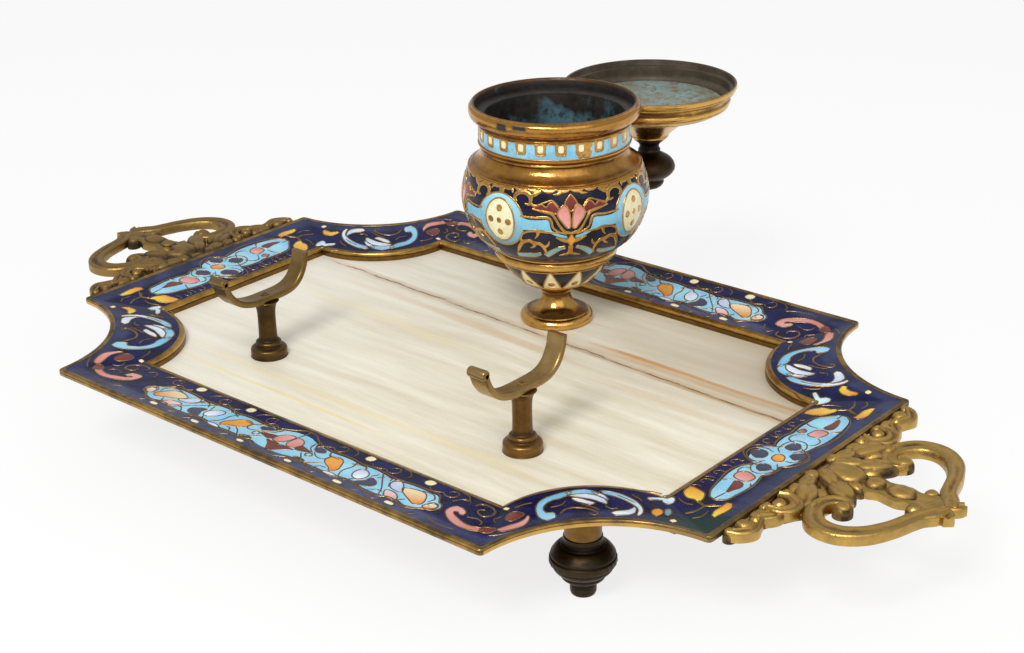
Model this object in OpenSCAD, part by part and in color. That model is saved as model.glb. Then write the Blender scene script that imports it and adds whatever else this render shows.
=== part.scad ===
// Desk inkstand: a footed brass tray with an enamelled border and an onyx floor, two pen rests, two cast
// handles and a bellied inkwell whose hinged lid lies open behind it.
// Millimetres, +Z up. Inside the modules z = 0 is the top edge of the tray and x = y = 0 its middle;
// placed() moves everything so that the feet stand on z = 0 under the middle of the whole outline.

/* [Tray] */
// length of the tray without the handles
tray_w = 250; // [180:1:320]
// depth of the tray
tray_d = 179; // [130:1:230]
// radius of the hollow curve cut out of each outer corner
corner_r = 40; // [20:0.5:60]
// width of the sloping border
border_w = 24; // [14:0.5:34]
// radius of the hollow curve at each corner of the opening
opening_r = 29.5; // [15:0.5:45]
// thickness of the tray's outer edge
edge_t = 2; // [1.8:0.1:4]
// fall of the border from its outer edge to the opening
border_fall = 2.5; // [0:0.1:5]
// depth of the stone's surface below the outer edge
slab_drop = 5.5; // [3:0.1:9]
// thickness of the stone
slab_t = 4.5; // [4:0.5:6]
// thickness of the enamelled copper
enamel_t = 1.2; // [0.8:0.1:2]
// width of the brass line on either side of the enamel
line_w = 1.8; // [1:0.1:3]
// wall that holds the stone, below the border
wall_t = 5; // [4:0.5:7]
// thickness of the plate under the stone
plate_t = 1; // [0.8:0.1:2]

/* [Feet] */
// height from the table to the tray's top edge
stand_h = 31; // [24:0.5:45]
// radius of the foot at its bulb
foot_bulb_r = 9.1; // [6:0.1:12]
// radius of the foot's lowest turning
foot_toe_r = 3.7; // [2.5:0.1:6]
// radius of the gilt collar above each foot
foot_collar_r = 5; // [4:0.1:7]
// depth below the tray's top edge at which the collars end and the feet start
foot_drop = 15; // [14:0.5:17]
// how far the feet stand inside the corners of the opening's outline
foot_in = 16; // [10:0.1:24]

/* [Handles] */
// reach of the handle beyond the tray's edge
handle_reach = 42; // [30:0.5:55]
// thickness of the handle casting
handle_t = 3.2; // [2.6:0.1:6]
// half width of one finger loop across the hand
loop_ry = 10; // [6:0.1:12]
// half width of one finger loop along the tray
loop_rx = 8; // [5:0.1:11]

/* [Pen rests] */
// distance of each rest from the middle line
rest_x = 51.8; // [30:0.1:80]
// distance of the rests in front of the middle line
rest_y = 34.5; // [15:0.1:55]
// radius of the rest's column
rest_col_r = 2.9; // [2:0.1:5]
// width of the bent strip that holds the pens
strip_w = 6; // [4:0.1:9]
// thickness of the bent strip
strip_t = 2; // [1.2:0.1:3]

/* [Inkwell] */
// distance of the inkwell behind the middle line
well_y = 43.5; // [20:0.5:60]
// turn of the inkwell about its own axis
well_turn = 4; // [0:1:20]
// greatest radius of the belly
belly_r = 29.4; // [22:0.1:36]
// outer radius of the neck where the enamel band lies
neck_r = 23; // [16:0.1:30]
// inner radius of the neck
neck_bore_r = 21.8; // [14:0.1:29]
// outer radius of the rim
rim_r = 26.8; // [18:0.1:34]
// height of the rim above the tray's top edge
rim_z = 67.5; // [50:0.5:80]

/* [Lid] */
// radius of the lid
lid_r = 28.9; // [20:0.1:36]
// gap between the closed lid and the rim
lid_gap = 0.3; // [0.2:0.05:1]
// height of the open lid's rim above the tray's top edge
lid_open_z = 60.3; // [50:0.1:70]
// distance of the hinge from the inkwell's axis
hinge_out = 27.4; // [18:0.1:36]
// radius of the hinge knuckles
knuckle_r = 1.8; // [1.4:0.1:3]
// radius of the hinge pin
pin_r = 0.9; // [0.6:0.05:1.5]
// half length of the hinge
hinge_half = 8; // [5:0.1:12]

/* [Fixings] */
// radius of the threaded studs
stud_r = 2; // [1.5:0.05:3]
// radius of the small screws
screw_r = 1.2; // [0.8:0.05:2]

/* [Hidden] */

slide_c = 0.2;      // stone in its rebate
pass_c = 0.5;       // stud through a drilled stone
thread_c = 0.1;     // stud or screw in its own thread
run_c = 0.05;       // lid knuckle on the hinge pin
seat_c = 0.05;      // a part let into a recess
moving_gap = 0.3;   // least air between the lid's parts and the fixed ones

open_hx = tray_w/2 - border_w;             // half length of the opening
open_hy = tray_d/2 - border_w;             // half depth of the opening
corner_grow = (corner_r - opening_r)/border_w;
stone_d = 1.2;                             // how far the stone runs under the border
rebate_d = stone_d + slide_c;
slab_z = -slab_drop;
plate_z = slab_z - slab_t;                 // top of the plate under the stone
under_z = plate_z - plate_t;               // underside of that plate
foot_z = -foot_drop;                       // where the feet start
foot_x = open_hx - foot_in;
foot_y = open_hy - foot_in;
foot_stud_h = 8;
screw_in = 3;                              // grip of the plate screws in the wall
handle_z0 = -2.8;
handle_x = tray_w/2;
tab_z = -edge_t - 2;
tab_t = 2.2;
pad_x = handle_x - 6;
pad_y = 16;
loop_x = handle_x + 23.4;
loop_y = loop_ry + 3.8;
knob_r = 3.7;
lid_closed_z = rim_z + lid_gap;
hinge_z = (lid_closed_z + lid_open_z)/2;
lid_back = 2*hinge_out;
lid_cy = well_y + lid_back*cos(well_turn);
shift_y = (lid_cy + lid_r - tray_d/2)/2;   // middle of the whole outline, front to back
eps = 0.01;
$fn = 96;

BRASS = [0.62, 0.47, 0.22];
GILT = [0.83, 0.62, 0.25];
BRONZE = [0.24, 0.18, 0.12];
COBALT = [0.10, 0.12, 0.42];
SKY = [0.45, 0.75, 0.88];
STONE = [0.88, 0.83, 0.73];
STEEL = [0.5, 0.5, 0.5];

module placed() { translate([0, -shift_y, stand_h]) children(); }
module on_well() { placed() translate([0, well_y, 0]) rotate([0, 0, well_turn]) children(); }
// the lid is drawn closed, rim at z = 0 and finial up, then laid open behind the well
module on_lid() { on_well() translate([0, lid_back, lid_open_z]) rotate([180, 0, 0]) children(); }

// outline of the opening grown by d: a rectangle with a hollow quarter circle at each corner
module outline(d) {
  difference() {
    square([2*(open_hx + d), 2*(open_hy + d)], center = true);
    for (sx = [-1, 1], sy = [-1, 1]) translate([sx*(open_hx + d), sy*(open_hy + d)])
      circle(r = opening_r + d*corner_grow);
  }
}
arc_n = 24;
function outline_points(d) = let (r = opening_r + d*corner_grow, x = open_hx + d, y = open_hy + d)
  [for (k = [0:3], i = [0:arc_n]) let (a = [270, 360, 90, 180][k] - 90*i/arc_n,
    sx = [1, -1, -1, 1][k], sy = [1, 1, -1, -1][k]) [sx*x + r*cos(a), sy*y + r*sin(a)]];
// a closed section of [d, z] points carried round that outline
module border_ring(sec) {
  m = len(sec);
  n = 4*(arc_n + 1);
  rows = [for (s = sec) [for (p = outline_points(s[0])) [p[0], p[1], s[1]]]];
  polyhedron(points = [for (r = rows) each r],
    faces = [for (j = [0:m-1], i = [0:n-1]) let (a = j*n + i, b = j*n + (i+1)%n,
      c = ((j+1)%m)*n + (i+1)%n, e = ((j+1)%m)*n + i) each [[a, b, c], [a, c, e]]]);
}
function fall(d) = -border_fall*(border_w - d)/border_w;
enamel_sink = 0.2;
pocket = enamel_sink + enamel_t;

module at_corners(x, y) { for (sx = [-1, 1], sy = [-1, 1]) translate([sx*x, sy*y, 0]) children(); }
plate_screw_d = rebate_d + wall_t/2;
module at_plate_screws() {
  for (sy = [-1, 1], sx = [-1, 0, 1]) translate([sx*55, sy*(open_hy + plate_screw_d), 0]) children();
  for (sx = [-1, 1]) translate([sx*(open_hx + plate_screw_d), 0, 0]) children();
}

// ---- tray ----
module tray_frame() {
  color(BRASS) placed() difference() {
    border_ring([
      [border_w, -edge_t], [border_w - 4, -edge_t - 1.3], [border_w/2, tab_z], [0, tab_z],
      [0, fall(0) - 0.25], [line_w, fall(line_w)],
      [line_w, fall(line_w) - pocket], [border_w - line_w, fall(border_w - line_w) - pocket],
      [border_w - line_w, fall(border_w - line_w)], [border_w - 0.7, 0], [border_w, -0.5]]);
    at_corners(pad_x, pad_y) translate([0, 0, tab_z - 1]) cylinder(r = screw_r, h = 2, $fn = 32);
  }
}

// wall round the stone, with the lip that covers its edge and the collars that take the feet
module stone_wall() {
  color(BRASS) placed() difference() {
    union() {
      translate([0, 0, plate_z]) linear_extrude(slab_z - plate_z) difference() {
        outline(rebate_d + wall_t);
        outline(rebate_d);
      }
      translate([0, 0, slab_z]) linear_extrude(tab_z - slab_z) difference() {
        outline(rebate_d + wall_t);
        outline(0);
      }
      at_corners(foot_x, foot_y) translate([0, 0, foot_z]) cylinder(r = foot_collar_r, h = tab_z - foot_z);
    }
    at_corners(foot_x, foot_y) translate([0, 0, foot_z - 1]) cylinder(r = stud_r, h = foot_stud_h + 1.5);
    at_plate_screws() translate([0, 0, plate_z - 1]) cylinder(r = screw_r, h = screw_in + 1.5, $fn = 32);
  }
}

module enamel_border() {
  lo = line_w + seat_c;
  hi = border_w - line_w - seat_c;
  color(COBALT) placed() border_ring([
    [hi, fall(hi) - pocket], [lo, fall(lo) - pocket], [lo, fall(lo) - enamel_sink],
    [hi, fall(hi) - enamel_sink]]);
}

module onyx_slab() {
  color(STONE) placed() translate([0, 0, plate_z]) linear_extrude(slab_t) difference() {
    outline(stone_d);
    for (sx = [-1, 1]) translate([sx*rest_x, -rest_y]) circle(r = stud_r + pass_c);
    translate([0, well_y]) circle(r = stud_r + pass_c);
  }
}

module base_plate() {
  // covers the wall's underside but passes inside the collars of the feet
  color(BRASS) placed() translate([0, 0, under_z]) difference() {
    linear_extrude(plate_t) difference() {
      square([2*(open_hx + rebate_d + wall_t) - 0.6, 2*(open_hy + rebate_d + wall_t) - 0.6], center = true);
      for (sx = [-1, 1], sy = [-1, 1]) translate([sx*(open_hx + 1.2), sy*(open_hy + 1.2)])
        circle(r = opening_r + 0.5);
    }
    for (sx = [-1, 1]) translate([sx*rest_x, -rest_y, -1]) cylinder(r = stud_r + thread_c, h = plate_t + 2);
    translate([0, well_y, -1]) cylinder(r = stud_r + thread_c, h = plate_t + 2);
    at_plate_screws() translate([0, 0, -1]) cylinder(r = screw_r + 0.2, h = plate_t + 2, $fn = 32);
  }
}

module small_screw(grip, engage) {
  // underside head, shank upwards from z = 0
  difference() {
    union() {
      translate([0, 0, -1.4]) cylinder(r = 2.4, h = 1.4, $fn = 48);
      translate([0, 0, -eps]) cylinder(r = screw_r - thread_c/2, h = grip + engage + eps, $fn = 32);
    }
    translate([-3, -0.35, -1.5]) cube([6, 0.7, 0.7]);
  }
}
module plate_screws() {
  color(STEEL) placed() at_plate_screws() translate([0, 0, under_z]) small_screw(plate_t, screw_in);
}

// ---- feet ----
module foot(sx, sy) {
  h = stand_h + foot_z;   // height of the turned foot below its collar
  color(BRONZE) placed() translate([sx*foot_x, sy*foot_y, -stand_h]) {
    rotate_extrude() polygon([[0, 0], [foot_toe_r - 0.6, 0], [foot_toe_r - 0.15, 0.4],
      [foot_toe_r, 1.2], [foot_toe_r + 0.1, 3.5], [foot_toe_r + 1, 3.8],
      [foot_toe_r + 2.4, 4.3], [foot_toe_r + 2.9, 5.2], [foot_toe_r + 2.6, 6],
      [foot_toe_r + 3.3, 6.5], [foot_bulb_r - 1.1, 7.6], [foot_bulb_r - 0.4, 8.8],
      [foot_bulb_r, 10], [foot_bulb_r, 10.9], [foot_bulb_r - 0.35, 12.2],
      [foot_bulb_r - 1, 13.4], [foot_bulb_r - 2, 14.3], [foot_collar_r + 0.9, 15],
      [foot_collar_r + 0.3, 15.3], [foot_collar_r + 0.2, h], [0, h]]);
    translate([0, 0, h - eps]) cylinder(r = stud_r - thread_c, h = foot_stud_h + eps);
  }
}
module foot_front_left() { foot(-1, -1); }
module foot_front_right() { foot(1, -1); }
module foot_back_left() { foot(-1, 1); }
module foot_back_right() { foot(1, 1); }

// ---- handles ----
function oval(cx, cy, rx, ry, n = 72) = [for (i = [0:n-1]) [cx + rx*cos(360*i/n), cy + ry*sin(360*i/n)]];
module handle_outline() {
  reach = handle_x + handle_reach;
  difference() {
    union() {
      for (s = [-1, 1]) {
        polygon(oval(handle_x + 21.4, s*(loop_ry + 5.2), loop_rx + 5.8, loop_ry + 4.8));
        polygon(oval(handle_x + 5, s*13.1, 7.03, 7.03, 40));
        polygon(oval(handle_x + 11.1, s*8.4, 7.06, 7.06, 40));
        polygon(oval(handle_x + 3.6, s*24.2, 5.02, 5.02, 32));
        polygon(oval(handle_x + 2.8, s*31.6, 4.42, 4.42, 32));
        polygon(oval(handle_x + 2, s*38.1, 4.23, 4.23, 32));
        polygon(oval(handle_x + 1.2, s*43, 3.04, 3.04, 32));
      }
      polygon(oval(handle_x + 6.2, 0, 9.05, 9.05, 48));
      translate([handle_x + 15, -4.7]) square([19, 9.4]);
      polygon(oval(reach - knob_r - 5.8, 0, 5.5, 5.5, 44));
      polygon(oval(reach - knob_r, 0, knob_r, knob_r, 44));
    }
    for (s = [-1, 1]) polygon(oval(loop_x, s*loop_y, loop_rx, loop_ry));
    translate([handle_x - 20, -60]) square([20 + seat_c, 120]);
  }
}
module handle(sx) {
  color(GILT) placed() rotate([0, 0, sx > 0 ? 0 : 180]) difference() {
    union() {
      translate([0, 0, handle_z0]) linear_extrude(handle_t) handle_outline();
      for (s = [-1, 1]) {
        translate([pad_x - 5.2, s*pad_y - 4.5, tab_z - tab_t]) cube([15, 9, tab_t]);
        translate([handle_x + 0.6, s*pad_y - 4.3, tab_z - 1]) cube([3.3, 8.6, 3]);
      }
    }
    for (s = [-1, 1]) translate([pad_x, s*pad_y, tab_z - tab_t - 1])
      cylinder(r = screw_r + 0.2, h = tab_t + 2, $fn = 32);
  }
}
module handle_left() { handle(-1); }
module handle_right() { handle(1); }
module handle_screws() {
  color(STEEL) placed() at_corners(pad_x, pad_y) translate([0, 0, tab_z - tab_t]) small_screw(tab_t, 1);
}

// ---- pen rests ----
rest_top = 13.1;
module rest_post(sx) {
  color(BRONZE) placed() translate([sx*rest_x, -rest_y, 0]) {
    rotate_extrude() polygon([[0, slab_z], [5.3, slab_z], [5.6, slab_z + 0.6], [5.6, slab_z + 1.6],
      [5.1, slab_z + 2.7], [4.1, slab_z + 3.5], [3.6, slab_z + 3.8], [3.9, slab_z + 4.3],
      [3.8, slab_z + 5.2], [3.1, slab_z + 5.7], [rest_col_r + 0.15, slab_z + 6.4],
      [rest_col_r, slab_z + 8], [rest_col_r - 0.1, rest_top - 3.2], [rest_col_r + 0.4, rest_top - 2.6],
      [rest_col_r + 0.8, rest_top - 1.8], [rest_col_r + 0.7, rest_top], [0, rest_top]]);
    translate([0, 0, under_z - 5.2]) cylinder(r = stud_r, h = slab_z - under_z + 5.2 + eps);
    translate([0, 0, rest_top - eps]) cylinder(r = 1.3, h = strip_t + eps, $fn = 32);
  }
}
// middle line of the bent strip, from the front tip over the post to the taller back
strip_line = [[-17.3, 24.4], [-16.8, 22.6], [-16, 20.6], [-14.8, 18.8], [-13.2, 17.1], [-11.2, 15.8],
  [-8.8, 14.9], [-6, 14.3], [-3, rest_top + 1], [0, rest_top + 1], [3, rest_top + 1], [6, 14.2],
  [8.6, 14.6], [10.8, 15.5], [12.6, 17], [13.9, 18.9], [14.8, 21], [15.3, 23], [15.5, 24.6]];
module rest_cradle(sx) {
  n = len(strip_line);
  side = [for (i = [0:n-1]) let (a = strip_line[max(i-1, 0)], b = strip_line[min(i+1, n-1)],
    u = (b - a)/norm(b - a)) [-u[1], u[0]]];
  color(BRONZE) placed() translate([sx*rest_x, -rest_y, 0]) difference() {
    rotate([90, 0, 90]) translate([0, 0, -strip_w/2]) {
      linear_extrude(strip_w)
        polygon(concat([for (i = [0:n-1]) strip_line[i] + side[i]*strip_t/2],
          [for (i = [n-1:-1:0]) strip_line[i] - side[i]*strip_t/2]));
      // rolled tip
      translate([-17.5, 24.2, 0]) cylinder(r = 1.5, h = strip_w, $fn = 32);
    }
    translate([0, 0, rest_top - 1]) cylinder(r = 1.3 + seat_c, h = 4, $fn = 32);
  }
}
module rest_post_left() { rest_post(-1); }
module rest_post_right() { rest_post(1); }
module rest_cradle_left() { rest_cradle(-1); }
module rest_cradle_right() { rest_cradle(1); }

module at_studs() {
  for (sx = [-1, 1]) translate([sx*rest_x, -rest_y, 0]) children();
  translate([0, well_y, 0]) children();
}
washer_t = 0.8;
module stud_washers() {
  color(STEEL) placed() at_studs() translate([0, 0, under_z - washer_t]) difference() {
    cylinder(r = 4.5, h = washer_t, $fn = 48);
    translate([0, 0, -1]) cylinder(r = stud_r + 0.2, h = washer_t + 2, $fn = 48);
  }
}
module stud_nuts() {
  color(STEEL) placed() at_studs() translate([0, 0, under_z - washer_t - 3.2]) difference() {
    cylinder(r = 4, h = 3.2, $fn = 6);
    translate([0, 0, -1]) cylinder(r = stud_r + seat_c, h = 5.2, $fn = 48);
  }
}

// ---- inkwell, from the foot up; heights above the tray's top edge ----
bowl_z = 6.6;
ring_z = bowl_z + 10.6;
body_z = ring_z + 4.2;
collar_z = 46.4;
band_z0 = 55.2;
band_z1 = 60.6;
ledge_z = 64;
band_t = 0.7;
bolt_r = stud_r;
floor_z = bowl_z + 2.4;    // inside of the bowl, under the bolt's head
module well_foot() {
  color(GILT) on_well() rotate_extrude() polygon([[bolt_r + thread_c, slab_z], [11, slab_z],
    [11.6, slab_z + 0.6], [11.6, slab_z + 1.8], [11, slab_z + 2.7], [9.6, slab_z + 3.4],
    [7.8, slab_z + 4.2], [6.2, slab_z + 5.2], [5.2, slab_z + 6.4], [4.6, slab_z + 7.8],
    [4.4, slab_z + 9.2], [4.6, slab_z + 10.4], [5.3, bowl_z - 0.6], [5.5, bowl_z],
    [bolt_r + thread_c, bowl_z]]);
}
module well_bowl() {
  color(COBALT) on_well() translate([0, 0, bowl_z]) rotate_extrude() polygon([[bolt_r + thread_c, 0],
    [6, 0], [9.8, 1.4], [12.2, 3.2], [14.2, 5.2], [15.9, 7.2], [17.3, 9.2], [18, 10.6], [16.4, 10.6],
    [15.2, 8.8], [13.7, 6.8], [11.8, 5], [9.8, 3.4], [7.6, 2.6], [4.8, floor_z - bowl_z],
    [bolt_r + thread_c, floor_z - bowl_z]]);
}
module well_ring() {
  color(GILT) on_well() translate([0, 0, ring_z]) rotate_extrude() polygon([[16, 0], [18.2, 0], [18.5, 0.4],
    [19.3, 0.9], [19.7, 1.7], [19.7, 2.5], [19.3, 3.2], [19.8, 3.6], [20.3, 4], [20.3, 4.2],
    [17.6, 4.2], [16.6, 3.4]]);
}
module well_body() {
  color(COBALT) on_well() rotate_extrude() polygon([[18.4, body_z], [20.3, body_z], [21.6, 22.5],
    [23.3, 24.3], [24.9, 26.5], [26.3, 29], [27.5, 31.8], [28.5, 34.6], [belly_r - 0.2, 37.2],
    [belly_r, 39.5], [belly_r - 0.2, 41.8], [28.7, 43.8], [28.1, 45.4], [27.7, collar_z],
    [26.1, collar_z], [27.1, 43.6], [27.6, 41.4], [27.7, 39.5], [27.5, 37.2], [26.8, 34.8], [25.8, 32.2],
    [24.6, 29.7], [23.3, 27.4], [21.8, 25.3], [20.2, 23.5]]);
}
hinge_cut_y = hinge_out - knuckle_r - moving_gap - seat_c;
module well_collar() {
  color(GILT) on_well() difference() {
    rotate_extrude() polygon([[26.1, collar_z], [27.7, collar_z], [27.5, 46.9], [26.9, 47.8],
      [25.9, 48.7], [24.7, 49.7], [23.7, 50.7], [23, 51.7], [22.8, 52.6], [23, 53.4], [23.5, 54.1],
      [23.9, 54.6], [24, band_z0], [neck_r, band_z0], [neck_r, band_z1], [24, band_z1], [24.2, 61],
      [24, 61.5],
      [24.3, 62.2], [25.3, 62.8], [26.3, 63.6], [rim_r - 0.05, 64.8], [rim_r, rim_z - 1.3],
      [rim_r - 0.3, rim_z - 0.3], [rim_r - 0.9, rim_z], [25.3, rim_z], [24.9, rim_z - 0.3],
      [24.7, ledge_z + 0.2], [22.4, ledge_z], [neck_bore_r, ledge_z - 0.5], [neck_bore_r, 51.8],
      [22.3, 50.9], [23.4, 49.7], [24.8, 48.5], [25.7, 47.6]]);
    // seat of the hinge, let into the mouldings at the back
    translate([-hinge_half - 0.3, hinge_cut_y, 60.9]) cube([2*hinge_half + 0.6, 5, 5.5]);
    translate([-hinge_half - 0.3, 23.6, 60.95]) cube([2*hinge_half + 0.6, 5, 1.65]);
  }
}
module neck_band() {
  color(SKY) on_well() translate([0, 0, band_z0]) difference() {
    cylinder(r = neck_r + band_t, h = band_z1 - band_z0);
    translate([0, 0, -1]) cylinder(r = neck_r, h = band_z1 - band_z0 + 2);
  }
}
module well_bolt() {
  color(STEEL) on_well() {
    translate([0, 0, floor_z]) cylinder(r = 4.2, h = 1.8, $fn = 48);
    translate([0, 0, under_z - 5.2]) cylinder(r = bolt_r, h = floor_z - under_z + 5.2 + eps);
  }
}

// ---- hinge ----
lid_half = 2.9;
leaf_y = neck_r + 0.65;    // where the fixed leaf starts, against the neck's seat
leaf_z = 61;
leaf_t = 1.55;
module hinge_well_leaf() {
  color(GILT) on_well() difference() {
    union() {
      translate([-hinge_half, leaf_y, leaf_z]) cube([2*hinge_half, leaf_t, leaf_t]);
      for (s = [-1, 1]) {
        x0 = s > 0 ? lid_half + moving_gap : -hinge_half;
        w = hinge_half - lid_half - moving_gap;
        translate([x0, leaf_y, leaf_z]) cube([w, hinge_out - leaf_y, leaf_t]);
        translate([x0, hinge_cut_y + seat_c, leaf_z])
          cube([w, hinge_out - hinge_cut_y - seat_c, hinge_z - leaf_z]);
        translate([x0, hinge_out, hinge_z]) rotate([0, 90, 0]) cylinder(r = knuckle_r, h = w, $fn = 48);
      }
    }
    translate([-hinge_half - 1, hinge_out, hinge_z]) rotate([0, 90, 0])
      cylinder(r = pin_r, h = 2*hinge_half + 2, $fn = 48);
  }
}
module hinge_lid_leaf() {
  // drawn where the open lid holds it
  color(GILT) on_well() difference() {
    union() {
      translate([-lid_half, hinge_out, hinge_z]) rotate([0, 90, 0])
        cylinder(r = knuckle_r, h = 2*lid_half, $fn = 48);
      translate([-lid_half, hinge_out - 1.6, lid_open_z]) cube([2*lid_half, 1.8, hinge_z - lid_open_z - 0.4]);
      translate([-lid_half, lid_back - lid_r + 0.1, lid_open_z - 1.9]) cube([2*lid_half, 2.4, 1.9 + eps]);
    }
    translate([-lid_half - 1, hinge_out, hinge_z]) rotate([0, 90, 0])
      cylinder(r = pin_r + run_c, h = 2*lid_half + 2, $fn = 48);
  }
}
module hinge_pin() {
  color(BRASS) on_well() translate([-hinge_half - 0.3, hinge_out, hinge_z]) rotate([0, 90, 0])
    cylinder(r = pin_r, h = 2*hinge_half + 0.6, $fn = 48);
}

// ---- lid ----
lid_top = 19.4;
module lid() {
  color(GILT) on_lid() difference() {
    rotate_extrude() polygon([[2.55, lid_top], [2.55, 17.9], [4.6, 17.5], [6.2, 16], [8.4, 14.2],
      [11.2, 12], [14.8, 9.9], [18.8, 8.4], [22.6, 7.4], [23.6, 7.3], [24.5, 7.2], [24.6, 6.2],
      [25.4, 5.2], [26.4, 4.6], [26.6, 2], [27.6, 1.8], [27.9, 0], [lid_r - 0.15, 0],
      [lid_r, 0.2], [lid_r, 1.3], [28.3, 2.2], [27.3, 3.3], [26.7, 4.2], [26.5, 4.8], [26.8, 5.2],
      [26.7, 6.2], [26, 7.4], [24.8, 8.3], [23, 8.8], [19.2, 9.8], [15.2, 11.3], [11.8, 13.4],
      [9.3, 15.2], [7.6, 16.7], [6.4, 18.1], [5.6, lid_top]]);
    translate([-lid_half - seat_c, lid_r - 2.55, -1]) cube([2*(lid_half + seat_c), 4, 2.95]);
  }
}
module lid_lining() {
  color([0.62, 0.68, 0.66]) on_lid() translate([0, 0, 6.4]) cylinder(r = 24.4, h = 0.8);
}
module lid_finial() {
  color(BRONZE) on_lid() {
    rotate_extrude() polygon([[0, lid_top], [5.3, lid_top], [4.9, 20], [4, 20.8], [3.3, 21.7],
      [3.4, 22.6], [4.4, 23.4], [6.2, 24.1], [7.7, 25.1], [8.6, 26.4], [8.9, 27.6], [8.7, 28.9],
      [8, 30.2], [7, 31.4], [5.9, 32.5], [5, 33.3], [4.8, 34], [5, 34.7], [4.6, 35.7], [3.5, 36.7],
      [1.8, 37.4], [0, 37.5]]);
    translate([0, 0, 16.9]) cylinder(r = 2.5, h = lid_top - 16.9 + eps);
  }
}

tray_frame();
stone_wall();
enamel_border();
onyx_slab();
base_plate();
plate_screws();
foot_front_left();
foot_front_right();
foot_back_left();
foot_back_right();
handle_left();
handle_right();
handle_screws();
rest_post_left();
rest_post_right();
rest_cradle_left();
rest_cradle_right();
stud_nuts();
stud_washers();
well_foot();
well_bowl();
well_ring();
well_body();
well_collar();
neck_band();
well_bolt();
hinge_well_leaf();
hinge_lid_leaf();
hinge_pin();
lid();
lid_lining();
lid_finial();
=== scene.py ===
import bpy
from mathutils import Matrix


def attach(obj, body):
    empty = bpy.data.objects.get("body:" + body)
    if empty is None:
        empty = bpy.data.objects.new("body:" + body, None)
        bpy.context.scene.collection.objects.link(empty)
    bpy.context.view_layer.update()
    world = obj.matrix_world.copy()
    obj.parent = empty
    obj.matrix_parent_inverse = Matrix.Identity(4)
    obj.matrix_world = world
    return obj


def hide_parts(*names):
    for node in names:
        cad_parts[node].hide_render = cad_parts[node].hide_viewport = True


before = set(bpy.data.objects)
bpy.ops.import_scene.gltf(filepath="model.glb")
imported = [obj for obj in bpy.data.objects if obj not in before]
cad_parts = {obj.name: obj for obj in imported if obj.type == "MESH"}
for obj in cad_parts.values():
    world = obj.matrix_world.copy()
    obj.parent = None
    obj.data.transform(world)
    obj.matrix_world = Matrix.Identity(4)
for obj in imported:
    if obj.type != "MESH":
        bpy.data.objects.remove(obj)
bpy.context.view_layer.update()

import math
import bpy
import numpy as np

# Desk inkstand: enamelled brass tray with an onyx floor, cast handles, pen rests and a bellied inkwell.
# Shapes are worked out in millimetres on the tray (z = 0 its top edge) and then put in the frame.
place = dict(shiftY=18.783255, standH=31.0, wellY=43.5, wellTurn=math.radians(4),
             lidBack=54.8, lidOpenZ=60.3, unit=0.001)


def srgb(r, g, b):
    # screen colour 0..1 to the linear colour that shaders use
    c = np.array([r, g, b], float)
    return np.where(c <= 0.04045, c / 12.92, ((c + 0.055) / 1.055) ** 2.4)


def onTray(p):
    # tray millimetres to frame metres
    return (np.asarray(p, float) + [0, -place["shiftY"], place["standH"]]) * place["unit"]


def onWell(p):
    # turned by the well's angle about its own axis, then moved behind the middle line
    p = np.asarray(p, float)
    c, s = math.cos(place["wellTurn"]), math.sin(place["wellTurn"])
    x, y, z = p[..., 0], p[..., 1], p[..., 2]
    return onTray(np.stack([c * x - s * y, s * x + c * y + place["wellY"], z], -1))


def onLid(p):
    # the closed lid, rim at z = 0, turned over behind the hinge
    p = np.asarray(p, float)
    return onWell(np.stack([p[..., 0], place["lidBack"] - p[..., 1], place["lidOpenZ"] - p[..., 2]], -1))


def gridQuads(nu, nv, wrapU=False):
    # corner numbers of the squares between the points of an nu by nv grid, which wraps round along v
    a, b = np.meshgrid(np.arange(nu if wrapU else nu - 1), np.arange(nv), indexing="ij")
    c, d = (a + 1) % nu, (b + 1) % nv
    return np.stack([a * nv + b, c * nv + b, c * nv + d, a * nv + d], -1).reshape(-1, 4)


def solid(points, wrapU=False, colour=None, ends=False):
    # a closed patch from a grid of points; ends closes a tube's first and last rows with one point each,
    # and the faces are turned outwards by the sign of the volume they hold
    points = np.asarray(points, float)
    nu, nv = points.shape[:2]
    quads = gridQuads(nu, nv, wrapU)
    verts = points.reshape(-1, 3)
    cols = np.ones((nu * nv, 3)) if colour is None else np.broadcast_to(colour, (nu, nv, 3)).reshape(-1, 3)
    if ends:
        k = np.arange(nv)
        n = (k + 1) % nv
        base, last = len(verts), (nu - 1) * nv
        verts = np.vstack([verts, points[0].mean(0), points[-1].mean(0)])
        cols = np.vstack([cols, cols[:nv].mean(0), cols[-nv:].mean(0)])
        first = np.stack([n, k, np.full(nv, base), np.full(nv, -1)], -1)
        final = np.stack([last + k, last + n, np.full(nv, base + 1), np.full(nv, -1)], -1)
        quads = np.vstack([quads, first, final])
    isTri = quads[:, 3:] < 0
    a, b, c, d = (verts[np.where(isTri, quads[:, [0, 1, 2, 2]], quads)[:, k]] for k in range(4))
    volume = (a * np.cross(b, c)).sum() + (a * np.cross(c, d)).sum()
    if volume < 0:
        quads = np.where(isTri, quads[:, [1, 0, 2, 3]], quads[:, ::-1])
    return verts, quads, cols


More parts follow.
